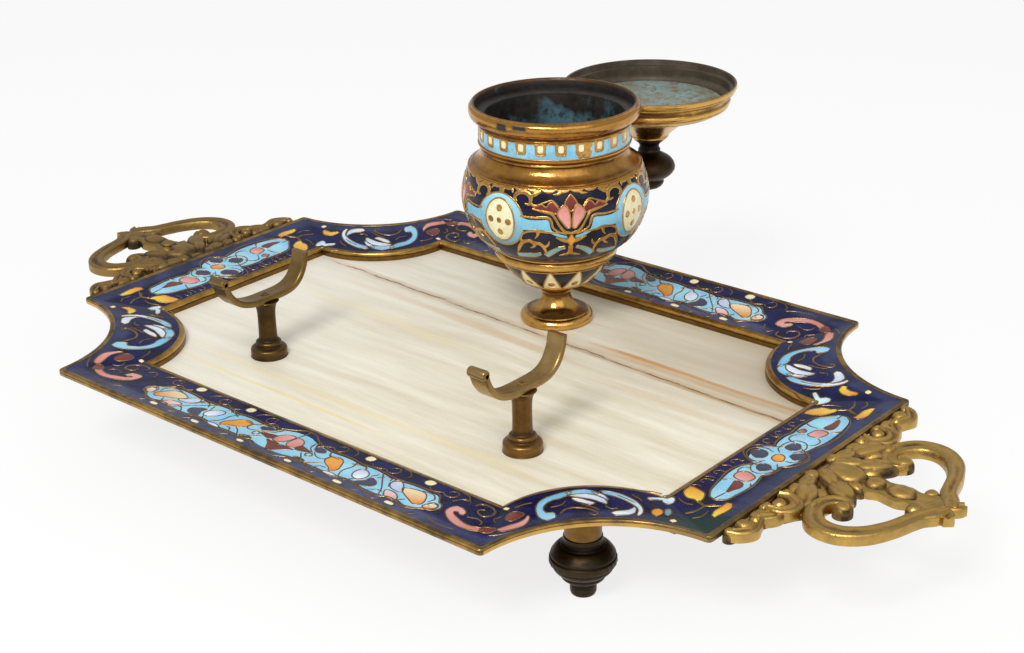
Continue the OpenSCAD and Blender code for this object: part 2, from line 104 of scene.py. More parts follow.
def addPiece(name, patches, body, mat, replaces=(), colour=False, sharp=40, weld=1e-7):
    # patches joined into one mesh in metres; a face whose last corner is -1 is a triangle; points closer
    # than weld become one, edges over sharp degrees are left hard, and the patches' colours go to the
    # attribute paint
    verts, faces, cols, base = [], [], [], 0
    for v, f, c in patches:
        verts.append(v)
        faces.append(np.where(f < 0, -1, f + base))
        cols.append(c)
        base += len(v)
    verts, faces, cols = np.vstack(verts), np.vstack(faces), np.vstack(cols)
    # equal neighbouring points become one, so poles and seams are closed
    key = np.round(verts / weld).astype(np.int64)
    _, first, back = np.unique(key, axis=0, return_index=True, return_inverse=True)
    back = back.reshape(-1)
    verts, cols = verts[first], cols[first]
    faces = np.where(faces < 0, -1, back[faces])
    rolled = np.roll(faces, 1, axis=1)
    isTri = faces[:, 3] < 0
    rolled[isTri, 0] = faces[isTri, 2]
    keep = (faces != rolled) & (faces >= 0)
    count = keep.sum(1)
    ok = count >= 3
    keep, faces, count = keep[ok], faces[ok], count[ok]
    loops = faces[keep].astype(np.int32)
    starts = np.concatenate([[0], np.cumsum(count)[:-1]]).astype(np.int32)
    me = bpy.data.meshes.new(name)
    me.vertices.add(len(verts))
    me.vertices.foreach_set("co", verts.astype(np.float32).ravel())
    me.loops.add(len(loops))
    me.loops.foreach_set("vertex_index", loops)
    me.polygons.add(len(starts))
    me.polygons.foreach_set("loop_start", starts)
    me.polygons.foreach_set("use_smooth", np.ones(len(starts), bool))
    if colour:
        at = me.color_attributes.new("paint", "FLOAT_COLOR", "POINT")
        at.data.foreach_set("color", np.hstack([cols, np.ones((len(cols), 1))]).astype(np.float32).ravel())
    me.update(calc_edges=True)
    me.validate()
    if sharp:
        me.set_sharp_from_angle(angle=math.radians(sharp))
    me.materials.append(mat)
    ob = bpy.data.objects.new(name, me)
    bpy.context.scene.collection.objects.link(ob)
    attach(ob, body)
    if replaces:
        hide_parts(*replaces)


def rounded(points, steps=6, closed=False):
    # a smooth curve through the given points (Catmull-Rom), steps points to each stretch
    p = np.asarray(points, float)
    if closed:
        q = np.vstack([p[-1:], p, p[:2]])
    else:
        q = np.vstack([2 * p[:1] - p[1:2], p, 2 * p[-1:] - p[-2:-1]])
    t = (np.arange(steps) / steps)[None, :, None]
    a, b, c, d = q[:-3, None], q[1:-2, None], q[2:-1, None], q[3:, None]
    r = 0.5 * (2 * b + (c - a) * t + (2 * a - 5 * b + 4 * c - d) * t ** 2 + (3 * b - a - 3 * c + d)
               * t ** 3)
    r = r.reshape(-1, p.shape[1])
    return r if closed else np.vstack([r, p[-1:]])


def evened(points, n, closed=False):
    # the same line with n points at even distances
    p = np.asarray(points, float)
    if closed:
        p = np.vstack([p, p[:1]])
    s = np.concatenate([[0], np.cumsum(np.linalg.norm(np.diff(p, axis=0), axis=1))])
    t = np.linspace(0, s[-1], n, endpoint=not closed)
    return np.stack([np.interp(t, s, p[:, k]) for k in range(p.shape[1])], -1)


def turned(profile, n, wobble=None):
    # a profile of [radius, height] turned about the z axis; wobble(angle, r, z) may change the radius
    prof = np.asarray(profile, float)
    a = np.linspace(0, 2 * math.pi, n, endpoint=False)
    r = np.broadcast_to(prof[:, :1], (len(prof), n)).copy()
    z = np.broadcast_to(prof[:, 1:2], (len(prof), n)).copy()
    if wobble:
        r = wobble(a[None, :], r, z)
    return np.stack([r * np.cos(a), r * np.sin(a), z], -1)


def grooveShadeAndWear(profile, reach=1.2, depth=0.5):
    # how far each point of a profile stands proud of its own neighbourhood: 0 in a groove, 1 on a ridge;
    # used as painted shade in the grooves and as wear on the ridges
    p = np.asarray(profile, float)
    s = np.concatenate([[0], np.cumsum(np.linalg.norm(np.diff(p, axis=0), axis=1))])
    w = np.exp(-((s[:, None] - s[None, :]) / reach) ** 2)
    w /= w.sum(1, keepdims=True)
    return np.clip(0.5 + (p[:, 0] - w @ p[:, 0]) / depth, 0, 1)


def lathe(profile, where, n, wobble=None, closed=False, steps=0, inside=None, marks=None):
    # a profile turned about the z axis in n steps and put in the frame; its paint holds in red the painted
    # shade of the profile's grooves and the wear of its ridges, and 1 in green on the points whose numbers
    # are in the range inside; marks(angle, r, z, paint) changes it
    prof = np.asarray(profile, float)
    if steps:
        prof = rounded(prof, steps, closed)
        prof[:, 0] = np.maximum(prof[:, 0], 0)
    grid = turned(prof, n, wobble)
    paint = np.zeros((len(prof), n, 3))
    paint[..., 0] = grooveShadeAndWear(prof)[:, None]
    if inside:
        paint[inside[0]:inside[1], :, 1] = 1
    if marks:
        a = np.broadcast_to(np.linspace(0, 2 * math.pi, n, endpoint=False)[None], paint.shape[:2])
        paint = marks(a, np.broadcast_to(prof[:, :1], a.shape), np.broadcast_to(prof[:, 1:2], a.shape),
                      paint)
    return solid(where(grid), wrapU=closed, colour=paint)


def carried(path, section, scale=None, up=(0, 0, 1), closed=False):
    # a closed section [sideways, upwards] carried along a path; scale gives a width and height per point
    path, section = np.asarray(path, float), np.asarray(section, float)
    if closed:
        tang = np.roll(path, -1, 0) - np.roll(path, 1, 0)
    else:
        tang = np.gradient(path, axis=0)
    tang /= np.linalg.norm(tang, axis=1, keepdims=True) + 1e-12
    up = np.broadcast_to(np.asarray(up, float), path.shape)
    side = np.cross(tang, up)
    side /= np.linalg.norm(side, axis=1, keepdims=True) + 1e-12
    rise = np.cross(side, tang)
    scale = np.ones((len(path), 2)) if scale is None else np.asarray(scale, float)
    s, u = section[None, :, 0] * scale[:, :1], section[None, :, 1] * scale[:, 1:]
    return path[:, None] + side[:, None] * s[..., None] + rise[:, None] * u[..., None]


class Sock:
    # one output of a shader node; arithmetic on it adds Math nodes
    def __init__(self, tree, out):
        self.tree, self.out = tree, out

    def math(self, op, *args):
        return nodeOf(self.tree, "ShaderNodeMath", dict(operation=op), dict(enumerate((self,) + args)))

    def __add__(self, o):
        return self.math("ADD", o)

    def __mul__(self, o):
        return self.math("MULTIPLY", o)

    def __sub__(self, o):
        return self.math("SUBTRACT", o)

    def __rsub__(self, o):
        return self.math("MULTIPLY_ADD", -1.0, o)

    __radd__ = __add__
    __rmul__ = __mul__

    def ramp(self, lo, hi, a=0.0, b=1.0):
        # a straight ramp from a at lo to b at hi, held at both ends
        return nodeOf(self.tree, "ShaderNodeMapRange", dict(clamp=True), {0: self, 1: lo, 2: hi, 3: a,
                                                                          4: b})

    def clamp(self):
        return self.ramp(0.0, 1.0)


def nodeOf(tree, kind, settings=None, inputs=None, output=0):
    # one node: its settings first, then values or links into its inputs, and the wanted output
    n = tree.nodes.new(kind)
    for k, v in (settings or {}).items():
        setattr(n, k, v)
    for k, v in (inputs or {}).items():
        if isinstance(v, Sock):
            tree.links.new(v.out, n.inputs[k])
        else:
            if n.inputs[k].type == "RGBA" and len(v) == 3:
                v = (*v, 1.0)
            n.inputs[k].default_value = v
    return Sock(tree, n.outputs[output])


class Shade:
    # a material with one Principled shader, and short names for the nodes it is fed from
    def __init__(self, name, **fixed):
        self.mat = bpy.data.materials.new(name)
        self.mat.use_nodes = True
        self.tree = self.mat.node_tree
        self.tree.nodes.clear()
        self.out = self.tree.nodes.new("ShaderNodeOutputMaterial")
        self.bsdf = self.tree.nodes.new("ShaderNodeBsdfPrincipled")
        self.tree.links.new(self.bsdf.outputs[0], self.out.inputs[0])
        self.fill(**fixed)
        self.coord = self.node("ShaderNodeTexCoord", output="Object")

    def node(self, kind, settings=None, inputs=None, output=0):
        return nodeOf(self.tree, kind, settings, inputs, output)

    def paint(self):
        # the colour attribute of a new piece
        return self.node("ShaderNodeAttribute", dict(attribute_name="paint"))

    def part(self, colour, k):
        # red, green or blue of a colour, as a number
        return self.node("ShaderNodeSeparateColor", None, {0: colour}, k)

    def fill(self, **values):
        # values or links into the shader's own sockets, named in camelCase
        names = dict(color="Base Color", metallic="Metallic", roughness="Roughness", normal="Normal",
                     specular="Specular IOR Level")
        for k, v in values.items():
            s = self.bsdf.inputs[names[k]]
            if isinstance(v, Sock):
                self.tree.links.new(v.out, s)
            else:
                s.default_value = (*v, 1.0) if s.type == "RGBA" else v

    def noise(self, scale, detail=4.0, rough=0.55, stretch=(1, 1, 1), shift=(0, 0, 0)):
        # cloudy noise on the object's own coordinates; scale counts clouds per metre
        at = self.node("ShaderNodeMapping", None, {"Vector": self.coord, "Scale": stretch,
                                                   "Location": shift})
        return self.node("ShaderNodeTexNoise", None, {"Vector": at, "Scale": scale, "Detail": detail,
                                                      "Roughness": rough})

    def mix(self, f, a, b, blend="MIX"):
        # colour a to colour b by f; a colour given as three numbers is a screen colour
        a, b = (c if isinstance(c, Sock) else tuple(srgb(*c)) for c in (a, b))
        return self.node("ShaderNodeMix", dict(data_type="RGBA", blend_type=blend), {0: f, 6: a, 7: b}, 2)

    def bump(self, height, distance, strength=1.0):
        # a skin whose height is the given pattern, distance metres from low to high
        return self.node("ShaderNodeBump", None, {"Height": height, "Distance": distance,
                                                  "Strength": strength})

    def axis(self, k):
        # the object's own x, y or z
        return self.node("ShaderNodeSeparateXYZ", None, {0: self.coord}, k)


stainTip = dict(x=0.121, y=-0.067, full=0.00002, end=0.00022)  # full and end are squares of distances
view = dict(lens=62.94, sensor=36, at=(0.34038452, -0.38751947, 0.25404543),
            turn=(66.57771203, 1.11765301, 40.62120777))


def nearTip(s):
    # 1 at the front right tip of the border, falling to 0 by the square of the distance
    x, y = s.axis(0) - stainTip["x"], s.axis(1) - stainTip["y"]
    return (x * x + y * y).ramp(stainTip["full"], stainTip["end"], 1.0, 0.0)


def camera():
    # a pinhole view, in metres and degrees
    cam = bpy.data.objects.new("camera", bpy.data.cameras.new("camera"))
    cam.data.lens, cam.data.sensor_width = view["lens"], view["sensor"]
    cam.location = view["at"]
    cam.rotation_euler = [math.radians(a) for a in view["turn"]]
    bpy.context.scene.collection.objects.link(cam)
    bpy.context.scene.camera = cam


studio = dict(floorSize=6.0, floorColour=(0.94, 0.94, 0.94), floorWhite=0.8, worldLevel=0.55,
              keyAt=(0.30, -0.86, 1.0), keySize=0.42, keyPower=9.5,
              fillAt=(0.9, -0.5, 0.9), fillSize=1.2, fillPower=4.0)


def lampAt(name, at, size, power):
    # a square lamp turned to face the middle of the frame
    lamp = bpy.data.objects.new(name, bpy.data.lights.new(name, "AREA"))
    lamp.data.size, lamp.data.energy = size, power
    lamp.location = at
    v = -np.array(at, float)
    yaw, pitch = math.atan2(v[0], -v[1]), math.atan2(math.hypot(v[0], v[1]), -v[2])
    lamp.rotation_euler = (pitch, 0, yaw + math.pi)
    bpy.context.scene.collection.objects.link(lamp)


def rayKinds(tree, *kinds):
    # 1 for rays of the named kinds
    found = [nodeOf(tree, "ShaderNodeLightPath", output=f"Is {k} Ray") for k in kinds]
    return sum(found[1:], found[0]).clamp()


def setStudio():
    # white world for the camera and a softer one for the light on the object; lamps; pale floor
    sc = bpy.context.scene
    sc.view_settings.view_transform = "Standard"
    world = bpy.data.worlds.new("studio")
    sc.world = world
    world.use_nodes = True
    t = world.node_tree
    t.nodes.clear()
    level = rayKinds(t, "Camera", "Transmission") * (1 - studio["worldLevel"]) + studio["worldLevel"]
    bg = nodeOf(t, "ShaderNodeBackground", None, {"Color": (1, 1, 1), "Strength": level})
    out = t.nodes.new("ShaderNodeOutputWorld")
    t.links.new(bg.out, out.inputs[0])
    lampAt("keyLamp", studio["keyAt"], studio["keySize"], studio["keyPower"])
    lampAt("fillLamp", studio["fillAt"], studio["fillSize"], studio["fillPower"])
    # the floor is part plain matt, part even white for what the camera sees, so the shadow stays
    h = studio["floorSize"] / 2
    me = bpy.data.meshes.new("floor")
    me.from_pydata([(-h, -h, 0), (h, -h, 0), (h, h, 0), (-h, h, 0)], [], [(0, 1, 2, 3)])
    s = Shade("floorWhite", color=studio["floorColour"], roughness=0.9, specular=0.0)
    seen = rayKinds(s.tree, "Camera", "Glossy", "Transmission")
    glow = s.node("ShaderNodeEmission", None, {"Color": (1, 1, 1), "Strength": 1.0})
    both = s.node("ShaderNodeMixShader", None, {0: seen * studio["floorWhite"],
                                                1: Sock(s.tree, s.bsdf.outputs[0]), 2: glow})
    s.tree.links.new(both.out, s.out.inputs[0])
    me.materials.append(s.mat)
    floor = bpy.data.objects.new("floor", me)
    sc.collection.objects.link(floor)


camera()
setStudio()
print("camera, light and floor ready")


def metal(name, bright, mid, dark, roughLo, roughHi, painted=True, grain=420.0, stainAndShade=0.5, bumpSize=0.00012,
          inner=None, tipGreen=None):
    # brass family: the paint's red (painted shade in recesses, painted light and wear on high parts) and
    # noise move the colour from the dark of recesses to the bright of high parts; inner is the pale, dark
    # and blue-green of the dull inside, shown where the paint's green is 1, with more of the blue-green
    # where its blue is 1; tipGreen is the green left on the border's front right tip
    s = Shade(name, metallic=1.0)
    broad, fine = s.noise(grain * 0.22, 3, 0.6), s.noise(grain, 5, 0.62)
    wear = 0.5
    if painted:
        paint = s.paint()
        wear = s.part(paint, 0)
    # painted shade and wear: the paint's red darkens recesses and lightens high parts, noise adds stains
    high = ((wear - 0.5) * 1.5 + (broad - 0.5) * 1.6 + (fine - 0.5) * 1.3 + 0.5).clamp()
    low = (high * -1.9 + stainAndShade + (fine - 0.5) * 1.2).clamp()
    col = s.mix(low, s.mix(high, mid, bright), dark)
    rough = low.ramp(0, 1, roughLo, roughHi) + (fine - 0.5) * 0.12
    shine = low.ramp(0, 1, 1.0, 0.55)
    if inner:
        within, bloomed = s.part(paint, 1), s.part(paint, 2)
        greyed = s.mix((broad * 1.6 - 0.3 + (fine - 0.5)).clamp(), inner[1], inner[0])
        bloom = (s.noise(95, 4, 0.55, shift=(0.013, 0.02, 0.004)) + bloomed * 0.30).ramp(0.58, 0.80)
        greyed = s.mix(bloom * fine.ramp(0.33, 0.5), greyed, inner[2])
        col = s.mix(within, col, greyed)
        rough = rough + within * 0.2
        shine = shine * (1 - within * 0.6)
    if tipGreen:
        green = nearTip(s) * broad.ramp(0.30, 0.46) * (low * 0.5 + 0.5)
        col = s.mix(green, col, tipGreen)
        rough = rough + green * 0.15
        shine = shine * (1 - green * 0.6)
    s.fill(color=col, roughness=rough, metallic=shine, normal=s.bump(fine + broad * 1.5, bumpSize))
    return s.mat


def enamel(name, colour=None, alt=None, gloss=0.16, speck=0.25, shine=0.5, glareAndDullColours=None):
    # glassy colour, from the paint or one colour with its second shade, with clouds, dirt specks and a wavy
    # skin; the grey pair is a greyish colour, shown where the paint's red is 1, and the green of its
    # stains:
    # on the border the grey is a painted reflection of glare, on the well it is the dull inside
    s = Shade(name, specular=shine)
    broad, fine = s.noise(160, 3, 0.5), s.noise(1500, 4, 0.6)
    base = s.mix(broad.ramp(0.38, 0.62), colour, alt) if colour else s.paint()
    if glareAndDullColours:
        # painted reflection: on the border this mask greys a strip as glare; on the well it marks the dull
        # inside
        glareAndDullMask = s.part(s.paint(), 0)
        base = s.mix(glareAndDullMask * broad.ramp(0.3, 0.6, 0.55, 1.0), base, glareAndDullColours[0])
        green = glareAndDullMask * s.noise(38, 3, 0.5).ramp(0.60, 0.66) * 0.7
        green = (green + nearTip(s) * s.noise(140, 4, 0.6).ramp(0.30, 0.46)).clamp()
        base = s.mix(green, base, glareAndDullColours[1])
    shade = (broad - 0.5) * 0.35 + (fine - 0.5) * 0.22 + 1.0
    base = s.mix(1.0, base, s.node("ShaderNodeCombineColor", None, {0: shade, 1: shade, 2: shade}),
                 "MULTIPLY")
    dirt = fine.ramp(0.30, 0.42, 1.0, 0.0) * speck
    base = s.mix(dirt, base, (0.20, 0.17, 0.15))
    s.fill(color=base, roughness=broad.ramp(0.3, 0.7, gloss, gloss + 0.14) + dirt * 0.4,
           normal=s.bump(broad * 2.0 + fine * 0.25, 0.00025, 0.6))
    return s.mat


stone = dict(
    pale=(0.955, 0.935, 0.865), base=(0.87, 0.83, 0.725), warm=(0.82, 0.58, 0.24), cream=(0.94, 0.86, 0.58),
    # shade is a painted shadow and light a painted pool of light on the stone
    line=(0.42, 0.33, 0.25), shade=(0.69, 0.63, 0.53), light=(0.97, 0.955, 0.915), halo=(0.74, 0.61, 0.44),
    dirt=(0.55, 0.50, 0.43),
    # streaks in metres on the tray: y at x = 0, slope, half width, first and last x, wobble, strength
    warmStreaks=[(0.0345, -0.012, 0.0011, 0.018, 0.115, 0.006, 1.1),
                 (0.0262, -0.012, 0.0009, 0.045, 0.115, 0.004, 1.0),
                 (0.0322, -0.012, 0.0020, 0.02, 0.115, 0.006, 0.55),
                 (0.0215, -0.08, 0.0025, -0.09, 0.03, 0.02, 0.30),
                 (0.0150, -0.02, 0.0022, 0.03, 0.115, 0.012, 0.22)],
    creamStreaks=[(-0.0515, -0.03, 0.0009, -0.085, 0.02, 0.008, 0.8),
                  (-0.0440, -0.03, 0.0022, -0.085, 0.07, 0.012, 0.35),
                  (0.0080, -0.03, 0.0030, -0.09, 0.0, 0.016, 0.35)],
    darkY=0.0283, darkSlope=0.030, darkHalf=0.0005, crackY=0.0297, crackSlope=0.052, crackHalf=0.0005,
    haloHalf=0.0028)


def onyxStone():
    # pale stone in bands along x that bend a little, warm veins and one fine grey crack across it, with a
    # painted shadow to the right and back and painted light on the left
    s = Shade("onyx", specular=0.5)
    x, y = s.axis(0), s.axis(1)
    cloud = s.noise(26, 4, 0.5, stretch=(0.35, 1, 1))
    bend = (cloud - 0.5) * 0.010
    at = s.node("ShaderNodeCombineXYZ", None, {0: x * 0.10, 1: y + bend, 2: 0.0})
    bands = s.node("ShaderNodeTexNoise", None, {"Vector": at, "Scale": 150.0, "Detail": 6.0,
                                                "Roughness": 0.62})
    fine = s.noise(900, 4, 0.6, stretch=(0.25, 1, 1))
    shift = -place["shiftY"] * place["unit"]

    def hump(line, half):
        # 1 on the line, 0 half a width away, by a square law
        return (line * line * (-1.0 / half ** 2) + 1.0).clamp()

    def streaks(rows):
        # the sum of the rows' streaks, each faded in and out along x
        shown = []
        for y0, slope, half, x0, x1, wobble, strength in rows:
            line = y - (y0 + shift) - x * slope - (cloud - 0.5) * wobble
            span = x.ramp(x0, x0 + 0.02) * x.ramp(x1 - 0.02, x1, 1.0, 0.0)
            shown.append(hump(line, half) * span * strength)
        return sum(shown[1:], shown[0])
    col = s.mix(bands.ramp(0.34, 0.66), stone["base"], stone["pale"])
    col = s.mix((streaks(stone["warmStreaks"]) * (fine * 1.2 + 0.4)).clamp(), col, stone["warm"])
    col = s.mix((streaks(stone["creamStreaks"]) * (fine * 0.9 + 0.5)).clamp(), col, stone["cream"])
    line = y - (stone["darkY"] + shift) + x * stone["darkSlope"] - (cloud - 0.5) * 0.004
    dark = hump(line, stone["darkHalf"]) * x.ramp(0.012, 0.03)
    col = s.mix((dark * (fine * 0.8 + 0.35)).clamp(), col, stone["line"])
    # painted shadow: the stone darker to the right of and behind the well
    col = s.mix(x.ramp(0.0, 0.09) * y.ramp(-0.012, 0.026) * 0.9, col, stone["shade"])
    # painted light: the stone's left part lighter
    col = s.mix(x.ramp(-0.09, -0.015, 0.5, 0.0), col, stone["light"])
    crackBend = s.noise(60, 5, 0.6, stretch=(1, 0, 0))
    line = y - (stone["crackY"] + shift) + x * stone["crackSlope"] - (crackBend - 0.5) * 0.0042
    broken = s.noise(170, 3, 0.5, stretch=(1, 0.2, 0.2)).ramp(0.38, 0.55, 0.35, 1.0)
    crack = hump(line, stone["crackHalf"]) * x.ramp(-0.100, -0.084) * broken
    col = s.mix(hump(line, stone["haloHalf"]) * 0.5 * x.ramp(-0.100, -0.07), col, stone["halo"])
    col = s.mix(crack * 0.85, col, stone["line"])
    col = s.mix(s.noise(2200, 3, 0.6).ramp(0.30, 0.40, 0.30, 0.0), col, stone["dirt"])
    s.fill(color=col, roughness=bands.ramp(0.3, 0.7, 0.30, 0.42) + crack * 0.3,
           normal=s.bump(bands * 0.5 + fine * 0.3 - crack * 1.5, 0.00018, 0.5))
    return s.mat


def patinaGrey(name, pale, greyed, rust):
    # dull metal gone pale: clouds of a blue-green and a grey, with small brown freckles
    s = Shade(name, metallic=0.15, specular=0.4)
    broad, fine = s.noise(150, 5, 0.66), s.noise(1100, 4, 0.6)
    col = s.mix(broad.ramp(0.40, 0.60), greyed, pale)
    freckle = s.noise(420, 5, 0.7, shift=(0.02, 0.01, 0.03))
    col = s.mix(freckle.ramp(0.52, 0.60) * 0.8, col, rust)
    col = s.mix(fine.ramp(0.60, 0.68) * 0.6, col, (0.24, 0.19, 0.12))
    s.fill(color=col, roughness=broad.ramp(0.3, 0.7, 0.38, 0.6), normal=s.bump(fine + broad, 0.00015))
    return s.mat


metals = dict(
    # bright, mid and dark, least and greatest roughness, and what differs from a plain painted metal
    rimBrass=[(0.84, 0.66, 0.34), (0.43, 0.35, 0.22), (0.20, 0.165, 0.12), 0.3, 0.58,
              dict(stainAndShade=0.58, grain=300, tipGreen=(0.13, 0.20, 0.16))],
    collarGilt=[(0.74, 0.54, 0.27), (0.52, 0.36, 0.17), (0.22, 0.13, 0.06), 0.18, 0.46,
                dict(stainAndShade=0.66, inner=((0.25, 0.225, 0.205), (0.11, 0.10, 0.095), (0.40, 0.57, 0.62)))],
    gilt=[(0.84, 0.66, 0.36), (0.62, 0.44, 0.20), (0.24, 0.14, 0.06), 0.18, 0.46, dict(stainAndShade=0.64)],
    lidGilt=[(0.84, 0.66, 0.34), (0.66, 0.49, 0.24), (0.26, 0.17, 0.08), 0.22, 0.5,
             dict(stainAndShade=0.6, inner=((0.38, 0.33, 0.26), (0.20, 0.165, 0.13), (0.36, 0.40, 0.38)))],
    wire=[(0.66, 0.53, 0.33), (0.47, 0.37, 0.23), (0.27, 0.20, 0.13), 0.3, 0.55,
          dict(stainAndShade=0.55, painted=False, grain=900)],
    giltWire=[(0.86, 0.68, 0.38), (0.68, 0.50, 0.25), (0.34, 0.23, 0.12), 0.22, 0.45,
              dict(stainAndShade=0.5, painted=False, grain=900)],
    bronze=[(0.27, 0.22, 0.155), (0.165, 0.135, 0.10), (0.07, 0.06, 0.045), 0.42, 0.64, dict(stainAndShade=0.66)],
    castGilt=[(0.68, 0.56, 0.32), (0.90, 0.72, 0.38), (0.21, 0.15, 0.08), 0.33, 0.58,
              dict(stainAndShade=0.86, grain=330, bumpSize=0.00026)],
    castBrown=[(0.60, 0.49, 0.29), (0.64, 0.50, 0.28), (0.20, 0.15, 0.09), 0.40, 0.62,
               dict(stainAndShade=0.9, grain=330, bumpSize=0.00026)],
    restBronze=[(0.52, 0.39, 0.22), (0.39, 0.28, 0.15), (0.18, 0.13, 0.07), 0.34, 0.56, dict(stainAndShade=0.6)],
    restDark=[(0.40, 0.31, 0.18), (0.27, 0.205, 0.12), (0.13, 0.10, 0.06), 0.38, 0.6, dict(stainAndShade=0.66)],
    cradleDark=[(0.55, 0.45, 0.27), (0.39, 0.32, 0.18), (0.15, 0.12, 0.075), 0.36, 0.58, dict(stainAndShade=0.66)],
    cradleBronze=[(0.68, 0.56, 0.36), (0.52, 0.42, 0.26), (0.22, 0.17, 0.10), 0.34, 0.56, dict(stainAndShade=0.55)],
    plainBrass=[(0.56, 0.43, 0.22), (0.40, 0.29, 0.15), (0.18, 0.13, 0.08), 0.35, 0.6, dict(painted=False)],
    plainGilt=[(0.90, 0.72, 0.38), (0.74, 0.56, 0.27), (0.32, 0.22, 0.11), 0.28, 0.5, dict(painted=False)],
    steel=[(0.62, 0.61, 0.59), (0.45, 0.44, 0.42), (0.2, 0.18, 0.16), 0.3, 0.55, dict(painted=False)])
finish = {name: metal(name, *row[:5], **row[5]) for name, row in metals.items()}
finish.update(
    # the border's greyed strip is a painted reflection of glare
    cobalt=enamel("cobalt", (0.03, 0.045, 0.19), (0.06, 0.085, 0.31), shine=0.12, speck=0.5,
                  glareAndDullColours=((0.29, 0.32, 0.44), (0.09, 0.20, 0.19))),
    wellCobalt=enamel("wellCobalt", (0.03, 0.03, 0.11), (0.055, 0.055, 0.20), gloss=0.10, shine=0.35,
                      glareAndDullColours=((0.155, 0.14, 0.13), (0.20, 0.33, 0.38))),
    cells=enamel("cells"),
    sky=enamel("sky", (0.50, 0.76, 0.88), (0.60, 0.83, 0.92), speck=0.35),
    onyx=onyxStone(),
    lidInside=patinaGrey("lidInside", (0.54, 0.64, 0.63), (0.54, 0.54, 0.47), (0.47, 0.38, 0.23)))
print("materials ready")

tray = dict(openX=101.0, openY=65.5, openR=29.5, grow=0.4375, width=24.0, fall=2.5, lineW=1.8, sink=0.2,
            pocket=1.4, tipR=1.3, tipLeast=0.12, underZ=-4.0, floorPoints=25, dish=0.10,
            sideBand=1.2, sideLess=0.5,  # the edge's paint is darker within sideBand of the long and short sides
            # painted reflection, a greyed glare strip: outside the outer distance on the front, inside the
            # inner distance on the back, faint past the x limit
            glareOut=16.8, glareIn=7.4, glareFade=2.0, glareX=66.0, glareXFade=4.0, faint=0.45)


def fallAt(d):
    # height of the border's surface d outside the opening: a straight fall inwards
    return -tray["fall"] * (tray["width"] - np.asarray(d, float)) / tray["width"]


def outlineAt(d, nSide=24, nArc=44, nTip=6):
    # for each d, points round the outline d outside the opening: sides, hollow corner arcs, small tips
    d = np.atleast_1d(np.asarray(d, float))[:, None]
    x, y, r = tray["openX"] + d, tray["openY"] + d, tray["openR"] + tray["grow"] * d
    f = tray["tipR"] * (tray["tipLeast"] + (1 - tray["tipLeast"]) * d / tray["width"])
    reach = np.sqrt(r * r + 2 * r * f)
    t = np.linspace(0, 1, nSide)[None, :-1]
    k = np.linspace(0, 1, nTip)[None, :-1]
    a = np.linspace(0, 1, nArc)[None, :-1]
    turn = np.arctan2(f, reach)
    half = math.pi / 2
    parts = [(x + 0 * t, t * (y - reach)),
             (x - f + f * np.cos(k * (half - turn)), y - reach + f * np.sin(k * (half - turn))),
             (x + r * np.cos(3 * half - turn - a * (half - 2 * turn)), y + r
              * np.sin(3 * half - turn - a * (half - 2 * turn))),
             (x - reach + f * np.cos(turn + k * (half - turn)), y - f + f * np.sin(turn + k
                                                                                   * (half - turn))),
             ((x - reach) * (1 - t), y + 0 * t), (0 * x, y)]
    q = np.stack([np.hstack([p[0] for p in parts]), np.hstack([p[1] for p in parts])], -1)
    flipX, flipY = np.array([-1, 1]), np.array([1, -1])
    return np.concatenate([q[:, :-1], (q * flipX)[:, ::-1][:, :-1], -q[:, :-1],
                           (q * flipY)[:, ::-1][:, :-1]], 1)


def ring(section, wear):
    # a closed section of [d, z] points carried round the outlines, with the paint of each point: wear and
    # painted shading on the rim, the painted glare strip on the enamel
    sec = np.asarray(section, float)
    xy = outlineAt(sec[:, 0])
    z = np.broadcast_to(sec[:, 1, None, None], (*xy.shape[:2], 1))
    return solid(onTray(np.concatenate([xy, z], -1)), wrapU=True, colour=wear[..., None])


